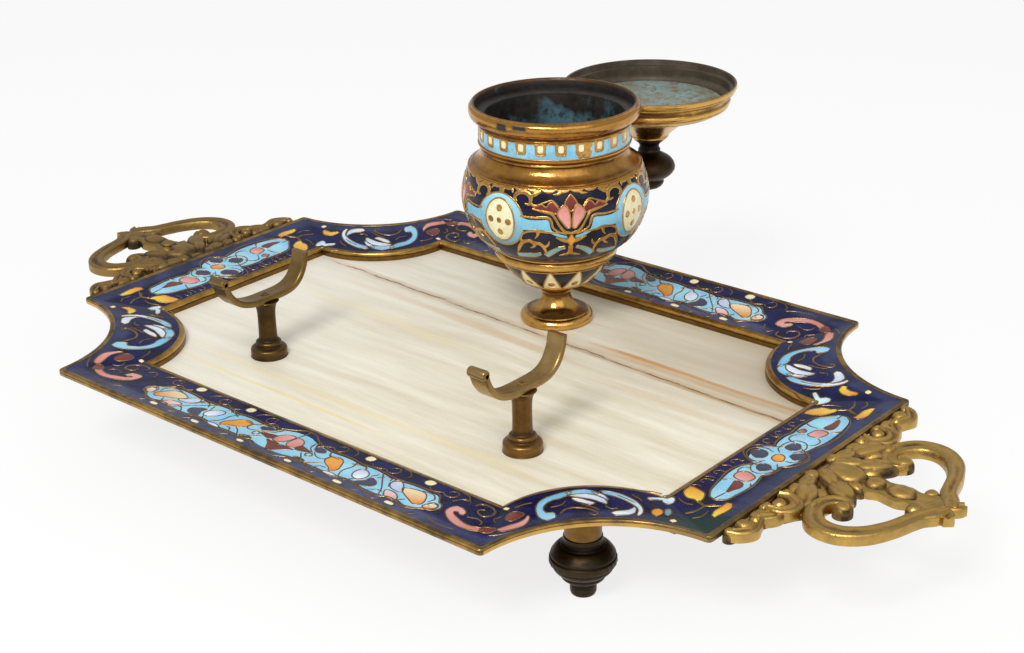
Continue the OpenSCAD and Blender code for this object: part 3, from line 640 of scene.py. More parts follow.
def makeTray():
    # the brass frame and the enamel in its border, each a section carried round the outlines
    w, lw, pk, uz = tray["width"], tray["lineW"], tray["pocket"], tray["underZ"]
    hi, lo = w - lw, lw
    outer = [[hi, fallAt(hi) - pk], [hi, fallAt(hi) - 0.12], [hi + 0.12, fallAt(hi) + 0.02],
             [hi + 0.6, -0.06], [w - 0.5, 0.0], [w - 0.16, -0.1], [w, -0.3], [w, -0.58]]
    edge = [[w - 0.12, -0.66], [w - 0.12, -0.78], [w, -0.86], [w, -1.6], [w - 0.08, -1.85], [w - 0.3, -2.0]]
    under = [[w - 4, -3.3], [w / 2, uz], [0.3, uz], [0.05, uz + 0.25]]
    inner = [[0.0, fallAt(0) - 0.7], [0.12, fallAt(0) - 0.35], [0.5, fallAt(0) - 0.02],
             [lo - 0.3, fallAt(lo) + 0.05], [lo, fallAt(lo) - 0.1], [lo, fallAt(lo) - pk]]
    # paint of each section point: painted shade in the pockets, brightest on the outer edge
    wear = [0.1, 0.3, 0.45, 0.3, 0.3, 0.35, 0.45, 0.5, 0.1, 0.1, 0.8, 0.95, 0.8, 0.5, 0.3, 0.3, 0.3, 0.3,
            0.7, 0.8, 0.5, 0.4, 0.3, 0.1]
    sec = outer + edge + under + inner
    xy = outlineAt(np.array(sec)[:, 0])
    reach = w - tray["sideBand"]
    side = (np.abs(xy[..., 0]) > tray["openX"] + reach) | (np.abs(xy[..., 1]) > tray["openY"] + reach)
    onEdge = np.isin(np.arange(len(sec)), len(outer) + np.arange(len(edge)))
    paint = np.array(wear)[:, None] - side * onEdge[:, None] * tray["sideLess"]
    addPiece("trayRim", [ring(sec, paint)], "stand", finish["rimBrass"], ["tray_frame"],
             colour=True)
    # enamel floor of the border, a touch hollow, with one strip greyed to a greyish blue as a painted
    # reflection of glare
    d = np.linspace(lo, hi, tray["floorPoints"])
    dish = tray["dish"] * np.abs(2 * (d - lo) / (hi - lo) - 1) ** 6
    top = np.stack([d, fallAt(d) - tray["sink"] + dish - 0.02], -1)
    low = np.stack([d[::-1], fallAt(d[::-1]) - pk + 0.02], -1)
    sec = np.vstack([top, low])
    xy = outlineAt(sec[:, 0])
    faint = tray["faint"]
    along = np.clip((tray["glareX"] - np.abs(xy[..., 0])) / tray["glareXFade"], 0, 1)
    outside = np.clip((sec[:, :1] - tray["glareOut"]) / tray["glareFade"], 0, 1)
    inside = np.clip((tray["glareIn"] - sec[:, :1]) / tray["glareFade"], 0, 1)
    # painted reflection: the strip greyed by this mask stands for glare, on the front's outer part and the
    # back's inner part
    greyed = np.where(xy[..., 1] < 0, outside * (faint + (1 - faint) * along),
                    inside * along + faint * outside * (1 - along))
    addPiece("enamelGround", [ring(sec, greyed)], "stand", finish["cobalt"],
             ["enamel_border"], colour=True)


makeTray()
print("tray ready")

enamelColour = dict(sky=(0.62, 0.85, 0.94), skyDeep=(0.42, 0.72, 0.88), white=(0.93, 0.95, 0.95),
                    cream=(0.95, 0.92, 0.76), pink=(0.90, 0.66, 0.64), salmon=(0.80, 0.48, 0.43),
                    maroon=(0.36, 0.12, 0.13), red=(0.50, 0.14, 0.13), orange=(0.88, 0.53, 0.13),
                    amber=(0.93, 0.66, 0.20), yellow=(0.94, 0.83, 0.27), lilac=(0.70, 0.80, 0.95),
                    pearl=(0.80, 0.83, 0.90), slate=(0.15, 0.19, 0.34), blush=(0.90, 0.80, 0.82),
                    skyMid=(0.50, 0.76, 0.86), haze=(0.42, 0.62, 0.70), teal=(0.34, 0.60, 0.60))
inlay = dict(sink=0.22, root=0.25, lift=0.05, dome=0.05, wireW=0.42, wireH=0.17, step=0.7, cellStep=0.6,
             shiftFront=2.8, shiftBack=0.0, edgeWire=(0.6, 0.2), thickWire=(0.75, 0.22),
             ringWire=(0.5, 0.22), thinWire=0.5, tailWire=0.45, fineWire=0.38, dotWire=0.3,
             dotGap=0.15, dotLift=0.08, cellAim=(0.4, 1))


def borderDepth(xy):
    # how far outside the opening a plan point lies: the largest of long side, short side and corner arc
    px, py = np.abs(xy[..., 0]) - tray["openX"], np.abs(xy[..., 1]) - tray["openY"]
    g, r = tray["grow"], tray["openR"]
    a, b, c = 2 - g * g, 2 * (px + py) + 2 * g * r, px * px + py * py - r * r
    root = b * b - 4 * a * c
    corner = np.where(root > 0, (b + np.sqrt(np.maximum(root, 0))) / (2 * a), -99)
    return np.maximum(np.maximum(px, py), corner)


def borderAt(sx=1, sy=1, x0=0.0, turned=False):
    # a mapping from plan points and a height over the enamel to the frame, mirrored by sx and sy; turned
    # swaps the border's inner and outer edge along a long side
    def where(xy, h=0.0):
        xy = np.asarray(xy, float)
        if turned:
            xy = xy * [1, -1] + [0, 2 * tray["openY"] + tray["width"]]
        z = fallAt(borderDepth(xy)) - inlay["sink"] + h
        return onTray(np.stack([xy[..., 0] * sx + x0, xy[..., 1] * sy, z], -1))
    return where


def eased(points, step, closed=False, least=8):
    # a smooth line through the points, evenly stepped
    fine = rounded(points, 8, closed)
    loop = np.vstack([fine, fine[:1]]) if closed else fine
    length = np.linalg.norm(np.diff(loop[:, :2], axis=0), axis=1).sum()
    return evened(fine, max(least, int(length / step)), closed)


def paintOf(colour, second, t):
    # colour to second colour by t, both as screen colours, given back linear
    a = srgb(*enamelColour[colour])
    b = srgb(*enamelColour[second or colour])
    t = np.clip(np.asarray(t, float), 0, 1)[..., None]
    return a * (1 - t) + b * t


def fanCell(where, outline, colour, second=None, aim=(1, 0), lift=inlay["lift"], least=16):
    # an enamel cell filled from its middle: rows run from under its middle over the rim to the top
    line = eased(outline, inlay["cellStep"], True, least)
    mid = line.mean(0)
    root, top = -inlay["root"], lift + inlay["dome"]
    t = np.array([0, 1, 1, 0.96, 0.8, 0.45, 0])[:, None, None]
    h = np.array([root, root, lift * 0.5, lift, lift + inlay["dome"] * 0.7, top, top])[:, None]
    uv = mid + t * (line - mid)
    along = ((line - mid) * np.asarray(aim)).sum(-1)
    span = np.ptp(along) or 1.0
    blend = 0.5 + t[..., 0] * along[None] / span
    # the colour is darker towards the rim and lightest on the domed top
    col = paintOf(colour, second, blend) * (0.80 + 0.2
                                            * np.array([1, 0, 0, 0.3, 1, 1.1, 1.15])[:, None, None])
    return solid(where(uv, h), colour=col)


def stripCell(where, edgeA, edgeB, colour, second=None, lift=inlay["lift"], blend=None, closed=False):
    # an enamel cell between two lines: a low arched section runs from one line to the other, and blend
    # takes its colour to the second one, from end to end where it isn't given
    a, b = np.asarray(edgeA, float), np.asarray(edgeB, float)
    root, near, top = -inlay["root"], lift + inlay["dome"] * 0.8, lift + inlay["dome"]
    t = np.array([0, 0, 0.06, 0.3, 0.5, 0.7, 0.94, 1, 1])[None, :, None]
    h = np.array([root, lift * 0.5, lift, near, top, near, lift, lift * 0.5, root])[None]
    uv = a[:, None] + t * (b - a)[:, None]
    if blend is None:
        blend = np.linspace(0, 1, len(a))
    col = paintOf(colour, second, np.broadcast_to(np.asarray(blend)[:, None], uv.shape[:2]))
    # the colour is darker along both edges and lightest in the middle
    col = col * (0.82 + 0.18 * np.array([0, 0, 0.4, 1, 1.1, 1, 0.4, 0, 0])[None, :, None])
    return solid(where(uv, np.broadcast_to(h, uv.shape[:2])), wrapU=closed, colour=col, ends=not closed)


def ribbonCell(where, metric, points, widths, colour, second=None, lift=inlay["lift"]):
    # a ribbon of enamel and its two edges: an eased middle line with a width at each given point, moved
    # half of it to either side; metric gives the millimetres in a degree
    both = eased(np.column_stack([points, widths]), inlay["cellStep"])
    line = both[:, :2]
    k = metric(line)
    d = np.gradient(line, axis=0) * np.stack([k, np.ones_like(k)], -1)
    d /= np.linalg.norm(d, axis=1, keepdims=True) + 1e-9
    side = np.stack([-d[:, 1] / k, d[:, 0]], -1) * both[:, 2:] / 2
    return stripCell(where, line + side, line - side, colour, second, lift), line + side, line - side


def wire(where, line, width=inlay["wireW"], height=inlay["wireH"], closed=False, taper=False, ready=False):
    # a thin metal line lying on the surface: a low arch carried along it; ready says that the points are
    # smooth, and taper makes both ends narrower
    line = np.asarray(line, float) if ready else eased(line, inlay["step"], closed)
    base = where(line, np.zeros(len(line)))
    up = where(line, np.full(len(line), 0.95)) - base
    up /= np.linalg.norm(up, axis=1, keepdims=True)
    size = np.ones(len(line))
    if taper:
        size = np.interp(np.linspace(0, 1, len(line)), [0, 0.12, 0.75, 1], [0.6, 1, 1, 0.5])
    arch = np.array([(-0.5, -0.3), (-0.4, 0.65), (-0.16, 1), (0.16, 1), (0.4, 0.65), (0.5, -0.3)])
    sec = arch * [width * place["unit"], height * place["unit"]]
    return solid(carried(base, sec, np.stack([size, np.ones_like(size)], -1), up, closed), wrapU=closed,
                 ends=not closed)


def curl(cx, cy, r0, r1, a0, a1, n=9):
    # a spiral: its radius runs from r0 to r1 while its angle runs from a0 to a1 degrees
    a, r = np.radians(np.linspace(a0, a1, n)), np.linspace(r0, r1, n)
    return np.stack([cx + r * np.cos(a), cy + r * np.sin(a)], -1)


def oval(cx, cy, rx, ry, n=10):
    # n points of an ellipse round cx, cy
    a = np.linspace(0, 2 * math.pi, n, endpoint=False)
    return np.stack([cx + rx * np.cos(a), cy + ry * np.sin(a)], -1)


def mirrorHalf(half):
    # both halves of a line from its half at u >= 0, which starts at u = 0
    half = np.asarray(half, float)
    return np.vstack([half[:0:-1] * [-1, 1], half])


longPanel = dict(
    inner=[(0, 68.0), (2.5, 68.4), (5, 70.2), (6.9, 71.4), (8.0, 73.6), (9.4, 72.0), (13, 72.8), (20, 72.3),
           (25, 73.0), (30, 72.4), (38, 73.3), (44, 72.6), (50, 72.4), (53, 72.6), (54.6, 74.2), (56, 76.0),
           (57.8, 76.9), (58.8, 78.4)],
    outer=[(0, 86.9), (3, 86.6), (5.5, 85.6), (8, 84.3), (13, 84.5), (18, 84.4), (23.6, 84.9), (27, 83.6),
           (31, 83.3), (36, 84.7), (41.5, 84.8), (44.6, 83.1), (47.8, 83.5), (51, 84.7), (53.4, 83.8),
           (55.3, 82), (57.6, 81.2), (58.8, 79.4)],
    cells=[("pink", "salmon", [(0.3, 73.6), (2, 73.2), (4, 74.6), (5, 76.8), (4.2, 78.9), (2.4, 79.4),
                               (0.8, 78.4), (0.3, 76.5)]),
           ("maroon", None, [(4.8, 76.4), (7.5, 76.9), (10, 77.8), (7.5, 79), (5, 79.2)]),
           ("maroon", "red", [(0.3, 84.9), (1.6, 83.6), (3.2, 81.6), (5.4, 79.9), (3.4, 79.9), (1, 79.7),
                              (0.3, 80.2)]),
           ("amber", "orange", [(15.8, 76.2), (17.8, 74.6), (20.2, 75.4), (22, 78), (23.2, 80.6),
                                (22, 82.6), (20.4, 81.2), (17.6, 79.8), (16, 78.2)]),
           ("white", "lilac", [(21, 83.7), (23.5, 83), (26, 83.6), (25.4, 84.4), (23, 84.6), (21.4, 84.4)]),
           ("lilac", "white", [(27.2, 76), (29, 75.2), (31.2, 76.6), (32, 79), (31, 81), (29, 80.8),
                               (27.4, 78.8)]),
           ("slate", None, [(33, 77.8), (35.2, 78.2), (37, 80), (36.6, 82), (34.5, 83), (31.5, 83.2),
                            (32.2, 81.4), (33.2, 79.8)]),
           ("pearl", "lilac", [(39, 73.6), (41, 74), (43.5, 76.2), (45, 78.6), (42.6, 79), (40.2, 78),
                               (38.8, 75.8)]),
           ("cream", "orange", [(43.4, 76.4), (45, 75.2), (48, 74.4), (50.5, 75), (52.6, 77.6),
                                (53.6, 80.2), (52, 81.6), (49.6, 80.6), (47.2, 79.4), (44.8, 78)]),
           ("blush", "pink", [(41, 80.4), (44, 80), (46.4, 81.6), (47, 83.6), (43.4, 83.4)]),
           ("white", "orange", [(54.4, 80.6), (55.0, 78.4), (56.6, 77.7), (58.0, 78.8), (57.4, 80.4),
                                (55.6, 81.4)]),
           ("slate", None, [(8.6, 73.8), (11.4, 73.6), (12.8, 75.4), (11.0, 76.4), (9.0, 75.4)]),
           ("slate", None, [(9.8, 82.2), (12.4, 82.6), (12.8, 83.6), (10.2, 83.8), (8.6, 83.0)])],
    wires=[[(0, 68.2), (0, 71), (0, 73.4)], [(6.5, 72.5), (7.5, 75.5), (10.5, 77.6)],
           [(8, 79.5), (10, 81.5), (13, 84)],
           [(50, 84.2), (54, 83), (57.6, 80.5), (57.4, 77.8), (55.4, 77.2), (54.6, 78.8), (55.8, 79.6)],
           [(13.2, 72.6), (15, 75.2), (18.8, 75.6)], [(26.2, 73), (28.6, 75)],
           [(33, 73), (36, 76.5), (39.6, 80.5), (42, 84.3)], [(40.8, 73), (38.8, 76), (40.2, 78.6)],
           [(13.6, 83.8), (15.6, 81.6), (17.6, 80.4)], [(23.4, 73), (24.6, 76.4), (24.4, 80), (26.4, 83.8)],
           [(28.8, 84), (30.2, 81.6)], [(47.2, 83.4), (48.6, 81)], [(32.4, 77.2), (33.2, 74.8)],
           [(10.4, 76.8), (12.6, 78.4), (15.0, 78.6), (16.0, 76.4), (14.4, 75.2)],
           [(23.0, 75.0), (25.6, 73.8), (28.0, 74.0)], [(34.2, 76.6), (35.6, 74.6), (37.4, 74.2),
                                                        (38.0, 75.8)],
           [(37.6, 83.8), (39.4, 82.0), (41.2, 81.8)], [(17.0, 84.2), (18.2, 82.2), (20.0, 81.8)],
           [(48.4, 74.0), (51.6, 73.6), (54.0, 75.6), (53.8, 78.0)]],
    curls=[(14.0, 69.6), (34.0, 69.6), (55.0, 69.6)], hooks=[18.0, 34.0, 41.0, 54.0],
    dots=[(24.2, 68.9, 1.5, 1.5), (46.2, 68.7, 1.6, 1.6), (28.7, 86.0, 1.7, 0.75), (47.3, 85.6, 1.6, 0.8),
          (9.6, 86.0, 1.4, 0.7)],
    ring=(10.6, 79.2, 1.1),
    # about the middle of a curl: its first points, then spiral (radii, degrees, points) and tail; a hook
    # about x
    curlStart=[(-7.2, 1.2), (-5.4, 2.4)], spiral=(2.5, 1.0, 150, -210, 12),
    tail=[(1.6, -2.2), (3.8, -2.0), (5.6, -0.4), (5.8, 1.4)],
    hook=[(-2.6, 85.3), (-1, 86.6), (1.2, 86.8), (2.2, 85.8)])


def ornament(at, part):
    # the cells, strips, thick lines, thin lines and cream dots of one table, with a wire round each cell
    cells, wires = [], []
    for first, second, outline in part.get("cells", []):
        cells.append(fanCell(at, outline, first, second, aim=inlay["cellAim"]))
        wires.append(wire(at, outline, closed=True))
    for first, second, edgeA, edgeB in part.get("strips", []):
        a, b = (evened(rounded(e, 6), 40) for e in (edgeA, edgeB))
        cells.append(stripCell(at, a, b, first, second))
        wires.append(wire(at, np.vstack([a, b[::-1]]), closed=True, ready=True))
    for line in part.get("thick", []):
        wires.append(wire(at, line, *inlay["thickWire"], taper=True))
    for line in part.get("wires", []):
        wires.append(wire(at, line, inlay["thinWire"], taper=True))
    for x, y, rx, ry in part.get("dots", []):
        gap = inlay["dotGap"]
        cells.append(fanCell(at, oval(x, y, rx, ry), "cream", lift=inlay["dotLift"]))
        wires.append(wire(at, oval(x, y, rx + gap, ry + gap), inlay["dotWire"], closed=True))
    return cells, wires


def longSide(sx, sy, x0):
    # one half of a long side's cartouche: its table, a ring and the curls on the ground either side of it
    at = borderAt(sx, sy, x0, sy > 0)
    cells, wires = ornament(at, longPanel)
    x, y, r = longPanel["ring"]
    wires.append(wire(at, oval(x, y, r, r), *inlay["ringWire"], closed=True))
    for middle in longPanel["curls"]:
        start = np.array(longPanel["curlStart"]) + middle
        wires.append(wire(at, np.vstack([start, curl(*middle, *longPanel["spiral"])]), inlay["thinWire"],
                          taper=True))
        wires.append(wire(at, np.array(longPanel["tail"]) + middle, inlay["tailWire"], taper=True))
    for x in longPanel["hooks"]:
        wires.append(wire(at, np.array(longPanel["hook"]) + [x, 0], inlay["fineWire"], taper=True))
    return cells, wires


def longBase(sy, x0):
    # the sky ground of a long side's cartouche, in one strip, with a wire all round it
    at = borderAt(1, sy, x0, sy > 0)
    a, b = (evened(rounded(mirrorHalf(longPanel[k]), 6), 180) for k in ("inner", "outer"))
    u = np.linspace(-1, 1, 180)
    blend = 0.5 + 0.5 * np.sin(u * 19) * np.cos(u * 7)
    cells = [stripCell(at, a, b, "sky", "skyDeep", lift=0.0, blend=blend * 0.5)]
    return cells, [wire(at, np.vstack([a, b[::-1]]), *inlay["edgeWire"], closed=True, ready=True)]


cornerPart = dict(
    strips=[("sky", "skyDeep", [(88.5, 64.9), (87.8, 67.2), (85.4, 67.3), (82.7, 65.5), (80.0, 62.5),
                                (78.4, 59.4), (78.1, 56.1), (79.0, 52.6), (80.3, 49.6)],
             [(87.4, 63.4), (85.9, 62.5), (84.8, 63.6), (83.0, 62.9), (81.5, 61.2), (80.7, 58.7),
              (80.8, 56.3), (81.8, 54.0), (81.7, 49.9)]),
            ("sky", "skyDeep", [(80.6, 51.2), (80.9, 48.7), (82.6, 46.7), (85.1, 45.6), (87.5, 45.6)],
             [(82.0, 51.5), (83.3, 49.7), (85.4, 48.1), (87.7, 47.4)]),
            ("skyDeep", "white", [(86.6, 44.4), (89.5, 42.8), (93.5, 42.7), (98.0, 43.8), (101.6, 46.0),
                                  (103.7, 48.5), (104.3, 50.6)],
             [(88.7, 45.5), (91.7, 45.1), (95.1, 45.3), (98.6, 46.2), (101.1, 47.4), (102.5, 49.1),
              (103.4, 51.0)]),
            ("white", "lilac", [(97.7, 54.1), (97.8, 52.6), (99.2, 50.8), (99.9, 49.2), (99.9, 47.6),
                                (99.4, 46.8)],
             [(99.3, 54.5), (100.8, 53.4), (102.3, 51.6), (102.2, 49.6), (100.9, 47.6)]),
            ("pink", "salmon", [(68.4, 77.5), (67.8, 75.6), (65.3, 74.2), (63.2, 74.9), (62.9, 77.4),
                                (64.0, 79.5), (67.7, 82.1), (71.7, 83.2), (75.4, 82.6), (77.6, 81.4)],
             [(67.2, 77.7), (66.2, 76.9), (65.3, 77.0), (65.9, 78.3), (68.5, 79.5), (71.5, 80.6),
              (74.3, 80.5), (76.4, 79.5)]),
            ("salmon", "pink", [(80.2, 77.4), (81.2, 74.8), (82.2, 72.4), (82.3, 70.0), (81.5, 67.6)],
             [(80.4, 78.4), (82.3, 78.2), (84.0, 75.4), (84.7, 72.4), (83.2, 68.8), (81.9, 67.6)]),
            ("yellow", "orange", [(118.0, 39.0), (117.2, 36.7), (117.3, 34.2), (117.2, 31.2)],
             [(119.4, 39.7), (119.7, 37.7), (120.2, 35.0), (120.0, 32.6), (118.8, 30.8)])],
    cells=[("white", "lilac", [(82.2, 51.9), (83.8, 49.1), (86.1, 48.0), (89.0, 47.4), (92.2, 48.6),
                               (93.3, 50.3), (91.2, 50.3), (88.0, 50.3), (85.3, 51.1)]),
           ("white", "pearl", [(83.8, 52.8), (85.7, 51.6), (88.1, 51.5), (90.7, 51.5), (90.2, 53.1),
                               (87.7, 53.6), (85.7, 53.6)]),
           ("white", "lilac", [(85.4, 46.4), (86.9, 45.9), (89.3, 46.0), (92.1, 47.8), (90.1, 47.8),
                               (88.0, 47.4)]),
           ("white", "sky", [(98.7, 39.6), (101.0, 37.1), (100.8, 35.7), (102.0, 34.6), (104.0, 35.2),
                             (105.4, 37.5), (105.0, 39.6), (103.3, 39.5), (102.1, 38.6), (99.6, 40.6)]),
           ("orange", "yellow", [(103.2, 29.9), (102.9, 27.6), (104.4, 27.4), (106.9, 28.1), (109.3, 29.3),
                                 (110.8, 32.4), (110.5, 34.3), (108.9, 33.5), (106.8, 33.6),
                                 (104.5, 32.0)]),
           ("maroon", "red", [(78.1, 72.2), (76.6, 69.5), (76.6, 67.6), (78.0, 66.9), (79.9, 67.2),
                              (80.6, 68.4), (80.6, 70.4), (79.9, 72.4)]),
           ("maroon", "red", [(76.4, 79.6), (77.4, 78.2), (79.2, 77.6), (80.2, 78.4), (80.0, 80.0),
                              (78.6, 81.4), (77.4, 81.4)])],
    thick=[[(92.3, 38.0), (94.4, 37.4), (97.2, 35.7), (99.6, 34.9)],
           [(87.8, 62.5), (87.1, 59.4), (88.1, 57.1), (90.3, 55.8), (92.9, 55.5), (95.2, 56.1),
            (95.3, 57.7), (93.7, 57.5)],
           [(66.8, 71.1), (67.3, 68.9), (70.2, 68.6), (72.7, 69.9), (73.5, 72.4), (72.2, 74.2),
            (70.0, 73.6), (69.2, 71.9), (70.3, 71.2)],
           [(110.4, 33.6), (113.2, 35.2), (115.4, 34.2), (117.2, 33.2)],
           [(113.4, 35.4), (113.2, 38.6), (111.6, 41.4)]],
    wires=[[(75.4, 65.6), (76.0, 62.6), (77.2, 60.8)], [(83.2, 60.4), (84.4, 57.6), (83.8, 55.2)],
           [(93.8, 51.4), (96.0, 51.8), (97.2, 50.6)], [(88.4, 54.2), (91.6, 54.0), (94.6, 54.4)],
           [(92.0, 44.0), (95.2, 44.2), (98.6, 45.0)], [(94.6, 41.2), (97.4, 41.8), (99.4, 43.0)],
           [(104.9, 34.9), (108.0, 36.4), (110.4, 36.2)], [(110.8, 34.6), (113.2, 35.0), (115.4, 33.4)],
           [(114.8, 42.6), (116.2, 40.6), (116.0, 37.4)],
           [(60.6, 73.2), (61.8, 70.4), (63.8, 69.6), (65.0, 71.0)],
           [(61.4, 83.8), (64.6, 85.4), (68.8, 85.8), (72.6, 85.2)],
           [(77.4, 75.0), (75.4, 73.6), (76.0, 71.4)],
           [(69.8, 77.4), (72.4, 76.4), (74.6, 77.2), (75.0, 78.8)],
           [(80.6, 81.8), (83.0, 80.0), (84.8, 77.4)]],
    dots=[(112.4, 47.6, 0.9, 0.9), (73.8, 66.9, 0.9, 0.7)])


cornerBuds = dict(
    plain=dict(strips=[("yellow", "orange", [(103.9, 47.2), (104.4, 44.8), (106.2, 43.4), (108.4, 43.4),
                                             (110.4, 45.0)],
                        [(105.6, 47.6), (106.0, 46.6), (107.4, 46.0), (108.8, 46.0), (110.2, 46.0)])]),
    stained=dict(cells=[("orange", "amber", [(104.7, 46.3), (104.6, 44.5), (106.2, 43.8), (107.7, 45.5),
                                             (107.7, 47.8), (106.2, 47.9)]),
                        ("teal", "haze", [(106.7, 43.2), (107.1, 41.8), (108.9, 43.3), (109.7, 46.0),
                                          (108.2, 45.5)])]))


sidePanel = dict(
    inner=[(111.2, -30.0), (109.0, -26.1), (107.7, -20.7), (106.6, -15.1), (107.2, -10.6), (109.4, -7.6),
           (105.6, -5.0), (103.1, -2.4), (102.7, 0.4), (104.0, 3.2), (108.2, 4.2), (107.4, 7.0),
           (106.9, 11.2), (107.6, 14.5), (107.0, 18.1), (107.2, 22.2), (107.9, 26.0), (110.0, 28.1),
           (112.8, 30.6)],
    outer=[(113.6, -31.2), (116.3, -29.4), (117.0, -25.9), (117.6, -22.2), (117.5, -17.9), (116.4, -13.2),
           (117.6, -11.4), (118.2, -8.6), (117.6, -6.2), (119.8, -4.6), (121.3, -1.9), (121.4, 1.6),
           (118.6, 4.6), (119.3, 8.6), (120.6, 12.9), (120.8, 17.8), (120.0, 23.1), (118.3, 28.0),
           (115.4, 31.1)],
    cells=[("maroon", "red", [(113.7, -26.1), (112.1, -20.9), (111.8, -18.9), (114.3, -19.4),
                              (115.4, -21.7), (114.4, -24.3)]),
           ("pink", "salmon", [(109.8, -16.9), (109.3, -14.5), (110.3, -13.0), (112.2, -12.9),
                               (115.2, -14.8), (115.3, -16.9), (114.3, -18.3), (112.1, -18.1)]),
           ("slate", None, [(104.9, -1.3), (106.0, 0.8), (108.5, 0.6), (110.2, -1.2), (110.0, -3.6),
                            (107.9, -4.0)]),
           ("slate", None, [(111.6, 5.1), (112.0, 8.2), (114.0, 8.7), (115.7, 6.4), (114.7, 4.0)]),
           ("slate", None, [(111.4, -8.3), (112.0, -6.5), (114.4, -6.7), (115.9, -8.7), (114.7, -10.7),
                            (112.9, -10.4)]),
           ("slate", None, [(115.8, 0.9), (116.7, 3.2), (118.9, 3.5), (120.0, 1.1), (118.5, -0.8)]),
           ("orange", "amber", [(112.1, -2.4), (111.9, -0.3), (113.2, 0.7), (115.1, -0.4), (115.9, -2.9),
                                (114.2, -3.9)]),
           ("pink", "salmon", [(112.4, 15.1), (112.6, 18.1), (113.4, 19.4), (115.1, 19.6), (117.0, 18.5),
                               (116.7, 15.8), (115.1, 14.6)]),
           ("maroon", "red", [(113.9, 21.2), (114.4, 24.5), (114.5, 28.0), (115.7, 26.6), (116.6, 23.2),
                              (116.2, 20.6)]),
           ("salmon", "maroon", [(108.6, 16), (110.4, 15.4), (111, 17), (109.4, 18.2)])],
    wires=[[(107.6, 22), (110, 20.6), (112.6, 20.2)], [(119.6, 21.6), (118.6, 20), (117.2, 19.2)],
           [(112, 9), (109.4, 10.4), (109.2, 13), (111.8, 14.8)],
           [(115.2, 8.2), (117.8, 10), (118, 12.6), (116.2, 14.4)],
           [(107.2, -20), (109.4, -19.4), (110.8, -18.6)], [(117.2, -20), (116.2, -18.6)],
           [(111.2, -10.4), (108.8, -11.2), (108.6, -13.2), (109.4, -14.2)], [(113.8, 28.2), (113.8, 30.4)],
           [(106.4, 4.4), (109.4, 4.6), (111.4, 5.4)], [(119.2, 4.6), (117.4, 5.4), (116.0, 6.4)],
           [(108.6, -7.2), (110.2, -7.6), (111.2, -8.0)], [(118.6, -9.2), (117.2, -8.8), (116.0, -8.8)],
           [(113.6, -26.4), (113.2, -29.0), (113.0, -30.6)],
           [(111.6, -4.6), (109.6, -6.2), (106.4, -5.0), (104.0, -2.0), (104.4, 1.4), (107.4, 2.4),
            (110.6, 1.0)],
           [(112.2, 1.6), (110.2, 4.0), (110.4, 8.2), (112.6, 10.4), (115.6, 9.6), (117.2, 6.2),
            (115.4, 2.8)],
           [(115.6, -5.0), (117.6, -8.6), (115.6, -12.0), (112.4, -12.0), (110.0, -9.0), (111.2, -5.4)],
           [(116.6, -2.6), (119.4, -2.2), (121.0, 0.8), (119.6, 4.2), (116.6, 4.4)]],
    curls=[(7.0, 1), (13.0, 1), (20.0, 1), (-9.0, -1), (-17.0, -1), (-23.0, -1)],
    # at a curl's y, first point, spiral (x, radii, degrees) and tail; the other way up where the second
    # number is -1
    curlStart=(106.6, -1.6), spiral=(104.8, 1.8, 0.7, -40, -300),
    tail=[(103.2, 3.6), (104.8, 2.8), (106.4, 3.4)])


def sideCartouche(sx):
    # a short side's cartouche: the lobed sky ground, its cells, and curls on the ground beside it
    at = borderAt(sx, 1)
    a, b = (evened(rounded(sidePanel[k], 6), 120) for k in ("inner", "outer"))
    u = np.linspace(-1, 1, 120)
    cells, wires = ornament(at, sidePanel)
    cells.append(stripCell(at, a, b, "sky", "skyDeep", lift=0.0, blend=0.25 + 0.25 * np.sin(u * 15)))
    wires.append(wire(at, np.vstack([a, b[::-1]]), *inlay["edgeWire"], closed=True, ready=True))
    cx, r0, r1, a0, a1 = sidePanel["spiral"]
    for y, m in sidePanel["curls"]:
        start = np.array([sidePanel["curlStart"]]) * [1, m] + [0, y]
        wires.append(wire(at, np.vstack([start, curl(cx, y, r0, r1, a0 * m, a1 * m)]), inlay["thinWire"],
                          taper=True))
        wires.append(wire(at, np.array(sidePanel["tail"]) * [1, m] + [0, y], inlay["fineWire"], taper=True))
    return cells, wires


def makeBorderInlay():
    # four groups of cells and wires; the front cartouche lies a little to the right, one corner is stained
    front, back = inlay["shiftFront"], inlay["shiftBack"]
    groups = dict(front=[longBase(-1, front)] + [longSide(sx, -1, front) for sx in (-1, 1)],
                  back=[longBase(1, back)] + [longSide(sx, 1, back) for sx in (-1, 1)],
                  sides=[sideCartouche(sx) for sx in (-1, 1)],
                  corners=[ornament(borderAt(sx, sy), part) for sx in (-1, 1) for sy in (-1, 1)
                           for part in (cornerPart,
                                        cornerBuds["stained" if (sx, sy) == (1, -1) else "plain"])])
    for name, made in groups.items():
        addPiece(f"inlayCells_{name}", [c for cells, wires in made for c in cells], "stand",
                 finish["cells"], colour=True, sharp=50, weld=1e-9)
        addPiece(f"inlayWires_{name}", [w for cells, wires in made for w in wires], "stand", finish["wire"],
                 sharp=50, weld=1e-9)


makeBorderInlay()
print("border inlay ready")

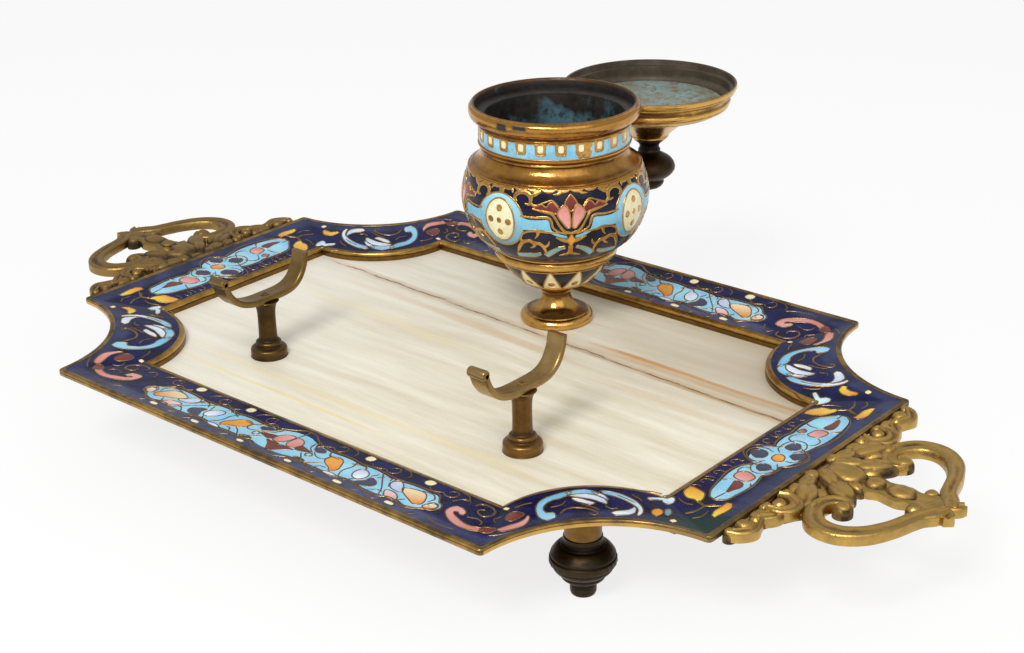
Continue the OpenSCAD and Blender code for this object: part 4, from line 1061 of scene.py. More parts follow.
handle = dict(
    z0=-2.8, z1=0.4,
    # plan line, widths, rise of the underside and of the top, points, paint of the sides (wear and painted
    # shade, darkest on the low web between the leaves); mirrored by y
    bands=[([(163.2, 0.6), (161.4, 4.2), (159.2, 7.4), (158.0, 11), (156.3, 16.7), (153.1, 22.7),
             (148.8, 26.4), (144.5, 27.3), (140.4, 26.0), (137.4, 22.2), (136.7, 17.8), (138.3, 14.2),
             (141.2, 13.2), (142.8, 15.0)],
            [3.4, 4.8, 4.4, 4.2, 4.4, 5.0, 5.4, 5.6, 5.6, 5.2, 4.6, 4.4, 4.0, 3.4], 0, 0, 100, 0.62),
           ([(126.2, 20.8), (129.4, 20.2), (132.6, 22.2), (133.0, 25.4), (130.8, 28), (127.4, 28.6)],
            [2.4, 3.2, 3.8, 3.8, 3.4, 2.2], 0.4, 0.5, 36, 0.62),
           ([(131.8, 26.6), (131.0, 30.4), (128.8, 33.4), (129.6, 36.6), (130.6, 39.6), (128.8, 42.6),
             (126.4, 44.2)],
            [2.4, 3.4, 3.4, 3.4, 3.4, 3.2, 2.0], 0.2, 0, 48, 0.62),
           ([(126.8, 5), (131, 11), (133.8, 17), (130.8, 24), (128, 33), (127, 42)],
            [8, 11, 10.5, 8, 5.4, 4], 0, -1.2, 40, -0.4),
           ([(159.6, 1.0), (162.0, 1.6), (164.2, 2.8), (165.6, 4.4)], [5.4, 5.2, 4.4, 2.6], 0, -0.3, 24,
            0.62)],
    # middle, half length and width, turn, rise of the underside and of the top, crease; mirrored by y
    leaves=[(142.0, 15.6, 2.7, 2.9, 0, 1.0, 0.4, 0), (137.2, 8.6, 6.4, 3.4, 35, 1.6, 0.9, 0.25),
            (131.4, 15.6, 6.6, 3.6, 62, 1.6, 1.1, 0.25), (127.8, 9.4, 5.0, 2.6, 78, 1.4, 0.4, 0.2),
            (128.9, 24.6, 2.3, 2.3, 0, 1.2, 0.9, 0), (127.6, 38.8, 2.6, 2.6, 0, 1.0, 0.6, 0),
            (127.4, 31.4, 2.2, 3.4, 10, 1.0, 0.3, 0.15), (126.6, 43.6, 1.7, 1.8, 0, 0.8, 0.2, 0),
            (156.0, 4.6, 2.2, 2.4, 0, 0.8, 0.2, 0), (131.2, 5.0, 5.6, 2.6, 38, 1.6, 1.3, 0.2)],
    # small leaves between the border and the large ones: middle, half length and width, turn; mirrored by y
    buds=[(126.9, 5.6, 3.0, 2.4, 20), (127.6, 14.6, 3.4, 2.4, 70), (127.2, 18.6, 2.2, 1.9, 0),
          (134.2, 13.2, 3.6, 2.0, 50), (134.8, 19.4, 3.2, 2.2, 80), (138.6, 4.0, 3.4, 1.8, 20),
          (126.8, 27.6, 2.0, 2.2, 0), (128.6, 35.0, 2.0, 1.8, 0)],
    # the arm on the middle line and its leaves: x, half length and width, rise below and above, crease
    armX=[132, 138, 142, 145, 148, 151, 154, 157.6, 161, 163.6],
    armWidths=[10, 10.5, 9.4, 7.2, 8.4, 9.0, 7.0, 9.8, 10.6, 9.0],
    midLeaves=[(149.8, 4.6, 3.7, 1.6, 1.0, 0.12), (160.4, 4.2, 5.2, 0.6, -0.1, 0),
               (142.4, 3.0, 3.2, 1.6, 0.9, 0), (133.6, 6.6, 4.6, 1.6, 1.5, 0.2),
               (129.0, 4.0, 9.5, 0.6, -0.4, 0)],
    # tabs under the frame, tabY to either side: first and last x, half width, underside and top
    tabs=[(113.8, 128.8, 4.5, -6.2, -4.0), (125.7, 128.9, 4.3, -5.0, -2.0)], tabY=16.0,
    section=[(-0.5, 0.0), (-0.5, 0.78), (-0.44, 0.93), (-0.33, 1.0), (-0.2, 0.97), (-0.1, 0.84),
             (0.06, 0.78), (0.22, 0.86), (0.32, 0.94), (0.43, 0.92), (0.5, 0.78), (0.5, 0.0)],
    groove=[0, 0, 0, 0, -0.15, -0.35, -0.45, -0.35, -0.15, 0, 0, 0])


def flatBand(line, widths, z0, z1, where, n, low):
    # a cast band lying flat: its grooved section is carried along n points of a plan line, its width eased
    # along it; its paint is lighter with height (painted light and wear) and darker in the groove (painted
    # shade), and low is that paint on its sides
    both = rounded(np.column_stack([line, widths]), 8)
    t = np.linspace(0, len(both) - 1, n)
    x, y, w = (np.interp(t, np.arange(len(both)), column) for column in both.T)
    grid = carried(np.stack([x, y, np.full(n, z0)], -1), handle["section"],
                   np.stack([w, np.full(n, z1 - z0)], -1))
    # painted light and shade: higher parts lighter, the groove darker
    wear = np.clip((grid[..., 2:] - z0) / (z1 - z0), 0, 1) ** 3
    groove = np.array(handle["groove"])[None, :, None]
    return solid(where(grid), colour=low + (0.85 - low) * wear + groove, ends=True)


def lobe(cx, cy, rx, ry, turn, z0, z1, where, crease=0.0, n=28, rows=7):
    # a domed leaf: an oval whose height falls as a quarter circle, with a crease along its length; its
    # paint is light on the top (painted highlight and wear) and dark towards its foot (painted shade)
    t = np.linspace(0, 1, rows)[:, None]
    a = np.linspace(0, 2 * math.pi, n, endpoint=False)[None, :]
    rho = np.sin(t * math.pi / 2)
    u, v = rho * np.cos(a), rho * np.sin(a)
    h = np.sqrt(np.clip(1 - rho ** 2, 0, 1)) * (1 - crease * np.exp(-(v / 0.22) ** 2))
    c, s = math.cos(math.radians(turn)), math.sin(math.radians(turn))
    x, y = cx + rx * u * c - ry * v * s, cy + rx * u * s + ry * v * c
    top = np.stack([x, y, z0 + (z1 - z0) * h], -1)
    under = np.full((1, n), z0 - 1.2)
    foot = np.stack([x[-1:], y[-1:], under], -1)
    base = np.stack([np.full((1, n), cx), np.full((1, n), cy), under], -1)
    # painted highlight on the dome's top, painted shade towards its foot
    wear = np.concatenate([h ** 1.5, np.zeros((2, n))])[..., None]
    return solid(where(np.concatenate([top, foot, base])), colour=-0.3 + 1.15 * wear)


def onHandle(side):
    # the right handle's millimetres to the frame, or turned half round for the left one
    def where(p):
        return onTray(np.asarray(p) * [side, side, 1])
    return where


def handlePatches(where):
    # one handle: bands, leaves and tabs on both sides of its middle line, then the arm and the leaves on it
    z0, z1 = handle["z0"], handle["z1"]
    out = []
    for m in (-1, 1):
        for line, widths, low, high, n, wear in handle["bands"]:
            out.append(flatBand(np.array(line) * [1, m], widths, z0 + low, z1 + high, where, n, wear))
        for x, y, rx, ry, turn, low, high, crease in handle["leaves"]:
            out.append(lobe(x, y * m, rx, ry, turn * m, z0 + low, z1 + high, where, crease))
        for x, y, rx, ry, turn in handle["buds"]:
            out.append(lobe(x, y * m, rx, ry, turn * m, z0 + 1.2, z1 + 0.5, where, 0.2, 20, 5))
        for x0, x1, half, low, high in handle["tabs"]:
            plan = np.array([[x0, -half], [x1, -half], [x1, half], [x0, half]]) + [0, handle["tabY"] * m]
            box = np.array([np.column_stack([plan, np.full(4, z)]) for z in (low, high)])
            out.append(solid(where(box), ends=True))
    arm = [(x, 0) for x in handle["armX"]]
    out.append(flatBand(arm, handle["armWidths"], z0, z1 - 0.4, where, 60, 0.62))
    for x, rx, ry, low, high, crease in handle["midLeaves"]:
        out.append(lobe(x, 0, rx, ry, 0, z0 + low, z1 + high, where, crease))
    return out


def makeHandles():
    # the same handle on both sides, the left one browner
    for name, side, look in (("right", 1, "castGilt"), ("left", -1, "castBrown")):
        addPiece(f"scrollHandle_{name}", handlePatches(onHandle(side)), "stand", finish[look],
                 [f"handle_{name}"], colour=True)


makeHandles()

rest = dict(x=51.8, y=-34.5, width=6.0, thick=2.0, n=64, points=72,
            post=[[0, -5.5], [5.3, -5.5], [5.6, -5.25], [5.65, -4.8], [5.65, -3.3], [5.5, -2.7],
                  [5.0, -2.3], [4.3, -2.05], [3.95, -1.8], [3.9, -1.5], [4.0, -1.1], [3.9, -0.6],
                  [3.5, -0.3], [3.0, 0.0], [2.9, 0.8], [2.82, 3.0], [2.78, 6.0], [2.8, 8.4], [2.9, 9.8],
                  [3.1, 10.9], [3.4, 11.8], [3.8, 12.5], [4.1, 13.08], [0, 13.08]],
            line=[(-17.3, 24.4), (-16.8, 22.6), (-16, 20.6), (-14.8, 18.8), (-13.2, 17.1), (-11.2, 15.8),
                  (-8.8, 14.9), (-6, 14.3), (-3, 14.1), (0, 14.1), (3, 14.1), (6, 14.2), (8.6, 14.6),
                  (10.8, 15.5), (12.6, 17), (13.9, 18.9), (14.8, 21), (15.3, 23), (15.5, 24.6)],
            # the rolled front tip: its axis [y, z], and a radius at each x
            rollAt=(-17.5, 24.2), roll=[(-3.0, 1.0), (-2.9, 1.35), (-2.6, 1.5), (2.6, 1.5), (2.9, 1.35),
                                        (3.0, 1.0)],
            rivet=[[0, 14.9], [1.3, 14.9], [1.3, 15.12], [1.15, 15.18], [0.6, 15.2], [0, 15.2]])


def restPatches(here):
    # one cradle: a bent strip with rounded edges and a shallow hollow, its rolled tip and a rivet
    line = evened(rounded(rest["line"], 6), rest["points"])
    path = np.column_stack([np.zeros(len(line)), line])
    t, w = rest["thick"] / 2, rest["width"] / 2
    sec = [(-w, -t * 0.6), (-w, t * 0.6), (-w + 0.25, t * 0.9), (-w + 0.6, t), (-w * 0.3, t * 0.82),
           (w * 0.3, t * 0.82), (w - 0.6, t), (w - 0.25, t * 0.9), (w, t * 0.6), (w, -t * 0.6),
           (w - 0.3, -t), (-w + 0.3, -t)]
    tang = np.gradient(path, axis=0)
    up = np.stack([0 * tang[:, 0], -tang[:, 2], tang[:, 1]], -1)
    strip = solid(here(carried(path, sec, up=up)), ends=True, colour=(0.7, 0.6, 0.6))
    a = np.linspace(0, 2 * math.pi, 24, endpoint=False)
    x, radius = np.array(rest["roll"]).T[..., None]
    y, z = rest["rollAt"]
    roll = np.stack([np.broadcast_to(x, (len(x), 24)), y + radius * np.cos(a), z + radius * np.sin(a)], -1)
    return [strip, solid(here(roll), ends=True, colour=0.75), lathe(rest["rivet"], here, 20)]


def makeRests():
    # a turned post and a cradle on either side, darker on the left
    for name, sx, postLook, cradleLook in (("left", -1, "restDark", "cradleDark"),
                                           ("right", 1, "restBronze", "cradleBronze")):
        def here(p, sx=sx):
            return onTray(np.asarray(p) + [sx * rest["x"], rest["y"], 0])
        addPiece(f"restPostTurned_{name}", [lathe(rest["post"], here, rest["n"], steps=2)], "stand",
                 finish[postLook], [f"rest_post_{name}"], colour=True)
        addPiece(f"restCradleStrip_{name}", restPatches(here), "stand", finish[cradleLook],
                 [f"rest_cradle_{name}"], colour=True)


makeRests()
print("handles and rests ready")

foot = dict(x=85.0, y=49.5, n=96, ropeN=28, ropeDepth=0.35, ropeZ=10.4, ropeHalf=0.95, ropeSlant=0.9,
            profile=[[0, 0], [2.9, 0], [3.35, 0.25], [3.55, 0.8], [3.6, 1.6], [3.65, 4.1], [4.2, 4.4],
                     [5.2, 4.7], [5.9, 5.2], [6.15, 5.8], [6.05, 6.3], [6.3, 6.6], [7.2, 7.1], [7.9, 7.8],
                     [8.3, 8.6], [8.35, 9.0], [8.5, 9.3], [9.0, 9.6], [9.15, 10.1], [9.15, 10.8],
                     [8.95, 11.3], [8.6, 11.55], [8.75, 12.1], [8.3, 12.9], [7.6, 13.8], [6.7, 14.5],
                     [6.0, 14.75], [6.1, 15.1], [5.6, 15.5], [5.3, 15.9], [5.2, 16.4], [5.3, 17.3],
                     [5.15, 17.6], [5.02, 17.6], [5.02, 16.05], [0, 16.05]])


def makeFeet():
    # turned feet with a rope ring at their widest: the radius gets a slanting ripple there
    def rope(a, r, z):
        near = np.clip(1 - ((z - foot["ropeZ"]) / foot["ropeHalf"]) ** 2, 0, 1)
        ripple = np.abs(np.sin(a * foot["ropeN"] / 2 + z * foot["ropeSlant"])) - 1
        return r + foot["ropeDepth"] * near * ripple
    for nx, sx in (("left", -1), ("right", 1)):
        for ny, sy in (("front", -1), ("back", 1)):
            def here(p, sx=sx, sy=sy):
                p = np.concatenate([p[..., :2], np.maximum(p[..., 2:], 0)], -1)
                return onTray(p + [sx * foot["x"], sy * foot["y"], -place["standH"]])
            addPiece(f"turnedFoot_{ny}_{nx}", [lathe(foot["profile"], here, foot["n"], rope, steps=3)],
                     "stand", finish["bronze"], [f"foot_{ny}_{nx}"], colour=True)


makeFeet()

well = dict(
    n=144, collarN=180, bodyOuter=14, bowlOuter=8,
    foot=[[2.2, -5.5], [10.9, -5.5], [11.5, -5.2], [11.75, -4.6], [11.75, -3.9], [11.4, -3.1], [10.7, -2.6],
          [10.1, -2.45], [9.95, -2.1], [9.2, -1.75], [7.9, -1.2], [6.5, -0.35], [5.4, 0.85], [4.8, 2.1],
          [4.5, 3.3], [4.4, 3.9], [4.85, 4.25], [5.0, 4.7], [4.75, 5.1], [5.0, 5.6], [5.6, 6.1], [5.8, 6.6],
          [2.2, 6.6]],
    bowl=[[6.0, 6.62], [7.9, 7.2], [9.8, 8.0], [12.2, 9.8], [14.2, 11.8], [15.9, 13.8], [17.3, 15.8],
          [18.0, 17.2], [16.4, 17.2], [15.2, 15.4], [13.7, 13.4], [11.8, 11.6], [9.8, 10.0], [7.6, 9.2],
          [4.8, 9.0], [4.8, 6.62]],
    ring=[[16.2, 17.22], [18.1, 17.22], [18.5, 17.35], [18.7, 17.65], [19.15, 17.85], [19.55, 18.3],
          [19.7, 18.9], [19.7, 19.5], [19.55, 20.0], [19.25, 20.35], [19.5, 20.6], [19.9, 20.8],
          [20.2, 21.1], [20.3, 21.38], [17.7, 21.38], [16.7, 20.6]],
    body=[[20.35, 21.42], [22.2, 22.6], [24.2, 24.3], [25.9, 26.5], [27.3, 29.0], [28.4, 31.8],
          [29.1, 34.4], [29.4, 36.8], [29.35, 39.2], [29.0, 41.6], [28.5, 43.6], [28.0, 45.3], [27.6, 46.4],
          [27.0, 47.58], [25.8, 47.58], [26.3, 46.3], [27.1, 43.6], [27.6, 41.4], [27.7, 39.5],
          [27.5, 37.2], [26.8, 34.8], [25.8, 32.2], [24.6, 29.7], [23.3, 27.4], [21.8, 25.3], [20.2, 23.5],
          [18.5, 21.42]],
    collar=[[27.2, 47.6], [27.35, 47.8], [27.15, 48.05], [26.7, 48.15], [26.6, 48.4], [26.3, 48.6],
            [25.6, 49.0], [24.9, 49.5], [24.1, 50.2], [23.5, 50.9], [23.1, 51.7], [22.85, 52.5],
            [23.0, 52.85], [23.35, 53.1], [23.45, 53.5], [23.3, 53.8], [23.45, 54.15], [23.9, 54.5],
            [24.05, 54.85], [24.0, 55.2], [23.0, 55.2], [23.0, 60.6], [23.8, 60.62], [24.15, 60.9],
            [24.2, 61.25], [24.0, 61.55], [24.2, 61.9], [24.6, 62.25], [25.3, 62.6], [26.0, 63.1],
            [26.5, 63.8], [26.75, 64.7], [26.8, 65.5], [26.7, 66.3], [26.3, 66.85], [26.0, 67.0],
            [25.95, 67.3], [25.7, 67.5], [25.2, 67.5], [24.9, 67.25], [24.75, 66.5], [24.7, 64.25],
            [22.5, 64.0], [21.85, 63.4], [21.8, 51.8], [22.3, 50.9], [23.4, 49.7], [24.8, 48.5],
            [25.7, 47.6]],
    band=[[23.0, 55.22], [23.62, 55.22], [23.7, 55.35], [23.7, 60.45], [23.62, 60.58], [23.0, 60.58]],
    # flat for the hinge: half width, distance behind the axis, from and to z
    seat=(8.4, 25.0, 60.8, 66.6),
    # two dark chips on the upper moulding: from and to degrees, from z up to chipZ, outside chipR
    chips=[(-95, -87, 64.4), (-83, -72, 64.9)], chipZ=66.6, chipR=26.0,
    # painted highlight in the cove: from and to z, outside of a radius, brightness added
    coveHighlight=(48.5, 53.0, 22.6, 0.3),
    # bloom on the far wall of the neck: middle and half width in degrees, from and to z
    bloom=(115, 60, 50, 63.0))


def cutFlat(half, wall, low, high):
    # for lathe: cuts a shape's back flat, wall behind its axis, half to either side, from low to high
    def wobble(a, r, z):
        cut = (np.abs(r * np.cos(a)) < half) & (r * np.sin(a) > wall) & (z > low) & (z < high)
        return np.where(cut, wall / np.maximum(np.sin(a), 0.2), r)
    return wobble


def collarMarks(a, r, z, paint):
    # dull inside paint (green) on the chips, a painted highlight (red) in the cove and bloom (blue) on the
    # far inner wall
    deg = (np.degrees(a) + 180) % 360 - 180
    for a0, a1, z0 in well["chips"]:
        chip = (deg > a0) & (deg < a1) & (z > z0) & (z < well["chipZ"]) & (r > well["chipR"])
        paint[..., 1] = np.where(chip, 1.0, paint[..., 1])
    low, high, least, wear = well["coveHighlight"]
    # painted highlight: the cove's paint made brighter
    paint[..., 0] += wear * (z < high) * (z > low) * (r > least)
    middle, half, low, high = well["bloom"]
    far = np.clip(1 - np.abs(deg - middle) / half, 0, 1)
    paint[..., 2] = far * (z < high) * (z > low) * paint[..., 1]
    return paint


def bareInside(a, r, z, paint):
    # the enamel stops at the mouth: the inner wall is painted as dull metal
    paint[..., 0] = paint[..., 1]
    return paint


def turnedPiece(name, node, profile, where, n, look, slot, body="stand", **more):
    # one turned piece in the place of its node
    addPiece(name, [lathe(profile, where, n, **more)], body, finish[look], [node], colour=True)


def makeWell():
    # the well from its foot up, each stage a closed turned section
    n, split = well["n"], well["bodyOuter"]
    outer, inner = rounded(well["body"][:split], 4), rounded(well["body"][split:], 3)
    turnedPiece("wellFootTurned", "well_foot", well["foot"], onWell, n, "gilt", "gilt_brass", closed=True)
    turnedPiece("wellBowlCup", "well_bowl", well["bowl"], onWell, n, "wellCobalt", "cobalt_enamel",
                closed=True, inside=(well["bowlOuter"], None), marks=bareInside)
    turnedPiece("wellRingTurned", "well_ring", well["ring"], onWell, n, "gilt", "gilt_brass", closed=True)
    turnedPiece("wellBodyShell", "well_body", np.vstack([outer, inner]), onWell, n, "wellCobalt",
                "cobalt_enamel", closed=True, inside=(len(outer), None), marks=bareInside)
    lip = well["collar"].index([24.75, 66.5])
    turnedPiece("wellCollarTurned", "well_collar", well["collar"], onWell, well["collarN"], "collarGilt",
                "gilt_brass", wobble=cutFlat(*well["seat"]), closed=True, inside=(lip, None),
                marks=collarMarks)
    addPiece("neckBandEnamel", [lathe(well["band"], onWell, n, closed=True)], "stand", finish["sky"],
             ["neck_band"])


makeWell()


def wellAt(profile, angle=0.0, flip=1):
    # a mapping from [degrees, z] and a height over the skin of a turned profile to the frame
    slope = np.gradient(profile, axis=0)
    slope /= np.linalg.norm(slope, axis=1, keepdims=True)
    def where(uv, h=0.0):
        uv = np.asarray(uv, float)
        z = uv[..., 1]
        r = np.interp(z, profile[:, 1], profile[:, 0])
        nr, nz = np.interp(z, profile[:, 1], slope[:, 1]), -np.interp(z, profile[:, 1], slope[:, 0])
        a = np.radians(angle + flip * uv[..., 0])
        r = r + h * nr
        return onWell(np.stack([r * np.cos(a), r * np.sin(a), z + h * nz], -1))
    return where


def degreeOn(profile):
    # the millimetres in one degree round a turned profile, at the height of each point
    def metric(uv):
        return np.radians(np.interp(uv[..., 1], profile[:, 1], profile[:, 0]))
    return metric


def hoop(skin, z, width, height, n):
    # a level wire all round a turned profile
    u = np.linspace(0, 360, n, endpoint=False)
    return wire(wellAt(skin), np.stack([u, np.full(n, z)], -1), width, height, closed=True, ready=True)


bodyOrnament = dict(
    medallion=(16.5, 8.4), window=(10.4, 6.8), centreZ=37.0, lappet=(9.0, 0.85),
    dots=[(0, 0, 1.8, 0.9), (0, 3.8, 2.2, 1.1), (0, -3.8, 2.2, 1.1), (6.3, -0.1, 2.2, 1.1),
          (-6.3, -0.1, 2.2, 1.1)],
    arm=[(31, 38.9), (26, 38.6), (20, 38.6), (15, 38.8), (13.2, 38.2), (12.6, 36.6), (11.5, 35.2),
         (8, 34.2), (4.5, 33.6), (2.6, 33.3), (2.6, 32.6), (5, 32.7), (9, 33.4), (13, 34.5), (17, 35.4),
         (22, 35.7), (27, 35.5), (31, 35.2)],
    petals=[("pink", "salmon", [(0.6, 36.4), (2.4, 36), (5, 37.6), (8, 39.8), (8.2, 41.2), (6.4, 42.4),
                                (4.2, 43.2), (2.2, 42.4), (1.0, 40.4), (0.5, 38)]),
            ("maroon", "red", [(7.6, 41.9), (9.4, 43.2), (11.4, 44), (13.6, 43.5), (15, 42.5), (17.5, 43.3),
                               (20, 43.2), (23, 42), (19, 41.6), (15, 41.4), (11.5, 41), (9.2, 40.6)])],
    crown=[(-3.8, 43.4), (-2.8, 44.6), (-1.4, 45.4), (0, 46.2), (1.4, 45.4), (2.8, 44.6), (3.8, 43.4),
           (2.6, 42.4), (0, 41.2), (-2.6, 42.4)],
    ribbons=[([(16, 25.8), (12, 27.3), (8, 28.5), (3.6, 29.3)], [1.9, 1.7, 1.4, 0.9]),
             ([(37, 25.2), (30, 25.5), (24, 25.8), (19.6, 26.6)], [1.5, 1.6, 1.5, 0.9])],
    scrolls=[([(23.4, 42), (17, 41.2), (12, 40.6), (9.6, 39.2), (7.2, 37), (4.2, 35), (0, 34.2)],
              [0.5, 0.6, 0.8, 0.8, 0.8, 0.9, 0.9]),
             ([(31, 39.5), (22, 39.3), (15, 39.5), (12.2, 38.6), (11.0, 36.4), (7.6, 34.9), (3, 34.0)],
              [0.5, 0.7, 0.9, 0.9, 0.7, 0.6, 0.5]),
             ([(33.6, 43.6), (35.2, 44.8), (33.4, 46.2), (29.6, 46.6), (26, 46.0), (24.6, 44.6),
               (25.4, 43.2), (28.2, 43.4)], [0.7, 1.1, 1.3, 1.3, 1.4, 1.2, 0.9, 0.4]),
             ([(25.4, 45.4), (22.4, 46.2), (19.6, 47.5)], [0.9, 1.4, 2.0]),
             ([(25, 43.8), (22, 42.8), (16, 43.9), (11.4, 44.5), (7.4, 42.6)], [0.9, 0.8, 0.5, 0.5, 0.4]),
             ([(3, 34.6), (14, 34.7), (20, 35.1), (26, 34.8), (30.4, 33.4)], [0.4, 0.7, 0.9, 0.9, 0.4]),
             ([(20, 35.0), (20.4, 33.6), (22.2, 32.4)], [1.6, 0.8, 0.3]),
             ([(15.6, 26.4), (16.6, 28.6), (19, 30.4), (23, 30.8), (26.4, 31.4), (30.4, 30.6), (33.2, 28.8),
               (35.6, 26.6)],
              [0.6, 1.0, 1.2, 1.4, 1.2, 1.2, 1.1, 0.6]),
             ([(22.4, 30.8), (23.4, 29.4), (25.8, 28.8)], [1.4, 0.9, 0.3]),
             ([(17, 29.2), (14.2, 30.2), (13.4, 31.6)], [1.0, 0.8, 0.3]),
             ([(30.4, 30.6), (31.4, 32.2), (29.8, 33.2)], [1.1, 0.8, 0.3]),
             ([(2.4, 31.6), (5.4, 32.0), (9.4, 33.0)], [1.5, 1.2, 0.4]),
             ([(0.4, 29.8), (0.3, 28), (1.6, 26.6), (7, 26.0)], [1.3, 1.2, 1.1, 0.4]),
             ([(45, 45.2), (45, 47.5)], [1.6, 2.2]), ([(40.4, 47.4), (37.6, 46.9), (36.8, 45.9)],
                                                      [1.2, 0.9, 0.3]),
             ([(5.4, 47.4), (7.4, 46.4), (10.8, 46.2)], [1.4, 0.9, 0.3])],
    star=(0, 31.7, 3.6, 2.2), lappetN=360, lappetRise=0.2,
    # lift of each kind above the enamel, and widths of the wires
    windowLift=0.1, dotLift=0.16, starLift=0.1, armLift=0.055, scrollLift=0.13, lappetLift=0.12,
    thickWire=0.6, thinWire=0.5, starWire=0.45, fineWire=0.35)


def bodyInlay():
    # four medallions joined by straps, a flower between each pair, and leafy gilt scrolls over the ground
    cells, wires = [], []
    o = bodyOrnament
    skin = rounded(well["body"][:well["bodyOuter"]], 4)
    metric = degreeOn(skin)
    mz, n = o["centreZ"], 72
    # the medallions' rings go from sky at the top to the darker haze at the bottom
    blend = 0.5 - 0.5 * np.sin(np.linspace(0, 2 * math.pi, n, endpoint=False))
    starPlan = np.array([(0, 1), (0.4, 0.4), (1, 0), (0.4, -0.4), (0, -1), (-0.4, -0.4), (-1, 0),
                         (-0.4, 0.4)])
    star = starPlan * o["star"][2:] + o["star"][:2]
    for turn in range(4):
        at = wellAt(skin, 90.0 * turn)
        big, small = (evened(oval(0, mz, *o[k], n=40), n, True) for k in ("medallion", "window"))
        cells.append(stripCell(at, small, big, "sky", "haze", closed=True, blend=blend))
        cells.append(fanCell(at, small, "cream", lift=o["windowLift"]))
        for a0, a1 in ((15, 165), (195, 345)):
            a = np.radians(np.linspace(a0, a1, 40))
            arc = np.stack([np.cos(a), np.sin(a)], -1) * o["medallion"] + [0, mz]
            wires.append(wire(at, arc, o["thickWire"], ready=True))
        wires.append(wire(at, small, o["thickWire"], 0.2, closed=True, ready=True))
        for x, z, rx, rz in o["dots"]:
            wires.append(fanCell(at, oval(x, mz + z, rx, rz), "cream", lift=o["dotLift"]))
        # the flower between two medallions
        at = wellAt(skin, 45.0 + 90.0 * turn)
        cells.append(fanCell(at, o["crown"], "maroon", "red", aim=(0, 1)))
        wires.append(wire(at, o["crown"], o["thinWire"], closed=True))
        cells.append(fanCell(at, star, "orange", "amber", lift=o["starLift"]))
        wires.append(wire(at, star, o["starWire"], closed=True))
        for m in (-1, 1):
            half = wellAt(skin, 45.0 + 90.0 * turn, m)
            cells.append(fanCell(half, o["arm"], "skyMid", lift=o["armLift"]))
            for first, second, outline in o["petals"]:
                cells.append(fanCell(half, outline, first, second, aim=(0, 1)))
                wires.append(wire(half, outline, o["thinWire"], closed=True))
            for points, widths in o["ribbons"]:
                cell, a, b = ribbonCell(half, metric, points, widths, "skyMid", "haze")
                cells.append(cell)
                wires.append(wire(half, np.vstack([a, b[::-1]]), o["fineWire"], closed=True, ready=True))
            for points, widths in o["scrolls"]:
                wires.append(ribbonCell(half, metric, points, widths, "cream", lift=o["scrollLift"])[0])
    # scalloped gilt edge hanging from the shoulder
    pitch, drop = o["lappet"]
    u = np.arange(o["lappetN"]) * 360.0 / o["lappetN"]
    edge = np.abs(np.sin(np.radians(u * 180.0 / pitch)))
    top = np.full(len(u), skin[-1, 1])
    low = top - o["lappetRise"] - drop * edge ** 0.6
    wires.append(stripCell(wellAt(skin), np.stack([u, low], -1), np.stack([u, top], -1), "cream",
                           lift=o["lappetLift"], closed=True))
    return cells, wires


bandOrnament = dict(
    count=24, startAt=-50.0, skin=[[23.7, 55.3], [23.7, 58.0], [23.7, 60.5]], wireZ=(55.45, 60.4),
    frame=[(-3.7, 60.55), (-3.75, 58.6), (-3.6, 57.4), (-2.6, 57.0), (0, 56.95), (2.6, 57.0), (3.6, 57.4),
           (3.75, 58.6), (3.7, 60.55), (0, 60.55)],
    window=[(-2.1, 58.9), (-1.9, 59.9), (0, 60.1), (1.9, 59.9), (2.1, 58.9), (1.9, 57.95), (0, 57.75),
            (-1.9, 57.95)],
    # one stretch where the enamel is lost and the copper shows
    lost=[(12.6, 60.4), (11.8, 59.2), (12.8, 58.0), (12.2, 56.8), (13.4, 55.5), (16, 55.9), (19, 55.5),
          (22, 55.9), (23.6, 57.2), (22.4, 58.4), (23.8, 59.4), (23, 60.4), (18, 60.5)])


def bandInlay():
    # brass frames with cream dots, hung from the moulding over the sky band
    cells, wires = [], []
    o = bandOrnament
    skin = np.array(o["skin"])
    for k in range(o["count"]):
        at = wellAt(skin, o["startAt"] + k * 360.0 / o["count"])
        wires.append(fanCell(at, o["frame"], "cream", lift=0.04, least=30))
        wires.append(wire(at, o["frame"], 0.45, 0.14, closed=True))
        cells.append(fanCell(at, o["window"], "cream", lift=0.12))
    wires.append(fanCell(wellAt(skin, o["startAt"]), o["lost"], "cream", lift=0.07))
    wires.extend(hoop(skin, z, 0.4, 0.14, 180) for z in o["wireZ"])
    return cells, wires


bowlOrnament = dict(count=12, startAt=-60.5, hoops=[(8.9, 1.0), (16.9, 0.5)], dot=(0, 11.7, 4.6, 0.95),
                    # outline of a triangle, across as a share of half its pitch
                    points=[(-0.86, 10.0), (-0.9, 9.6), (0, 9.45), (0.9, 9.6), (0.86, 10.0), (0.44, 13.4),
                            (0.06, 16.9), (-0.06, 16.9), (-0.44, 13.4)])


def bowlInlay():
    # cream triangles, points upwards, each with a gilt dot, and a wire up each side
    cells, wires = [], []
    o = bowlOrnament
    skin = rounded(well["bowl"][:well["bowlOuter"]], 4)
    half = 180.0 / o["count"]
    outline = np.array(o["points"]) * [half, 1]
    for k in range(o["count"]):
        at = wellAt(skin, o["startAt"] + 2 * half * k)
        cells.append(fanCell(at, outline, "cream", least=30))
        wires.append(wire(at, outline, 0.5, closed=True))
        wires.append(fanCell(at, oval(*o["dot"]), "cream", lift=0.16))
    wires.extend(hoop(skin, z, width, 0.25, 120) for z, width in o["hoops"])
    return cells, wires


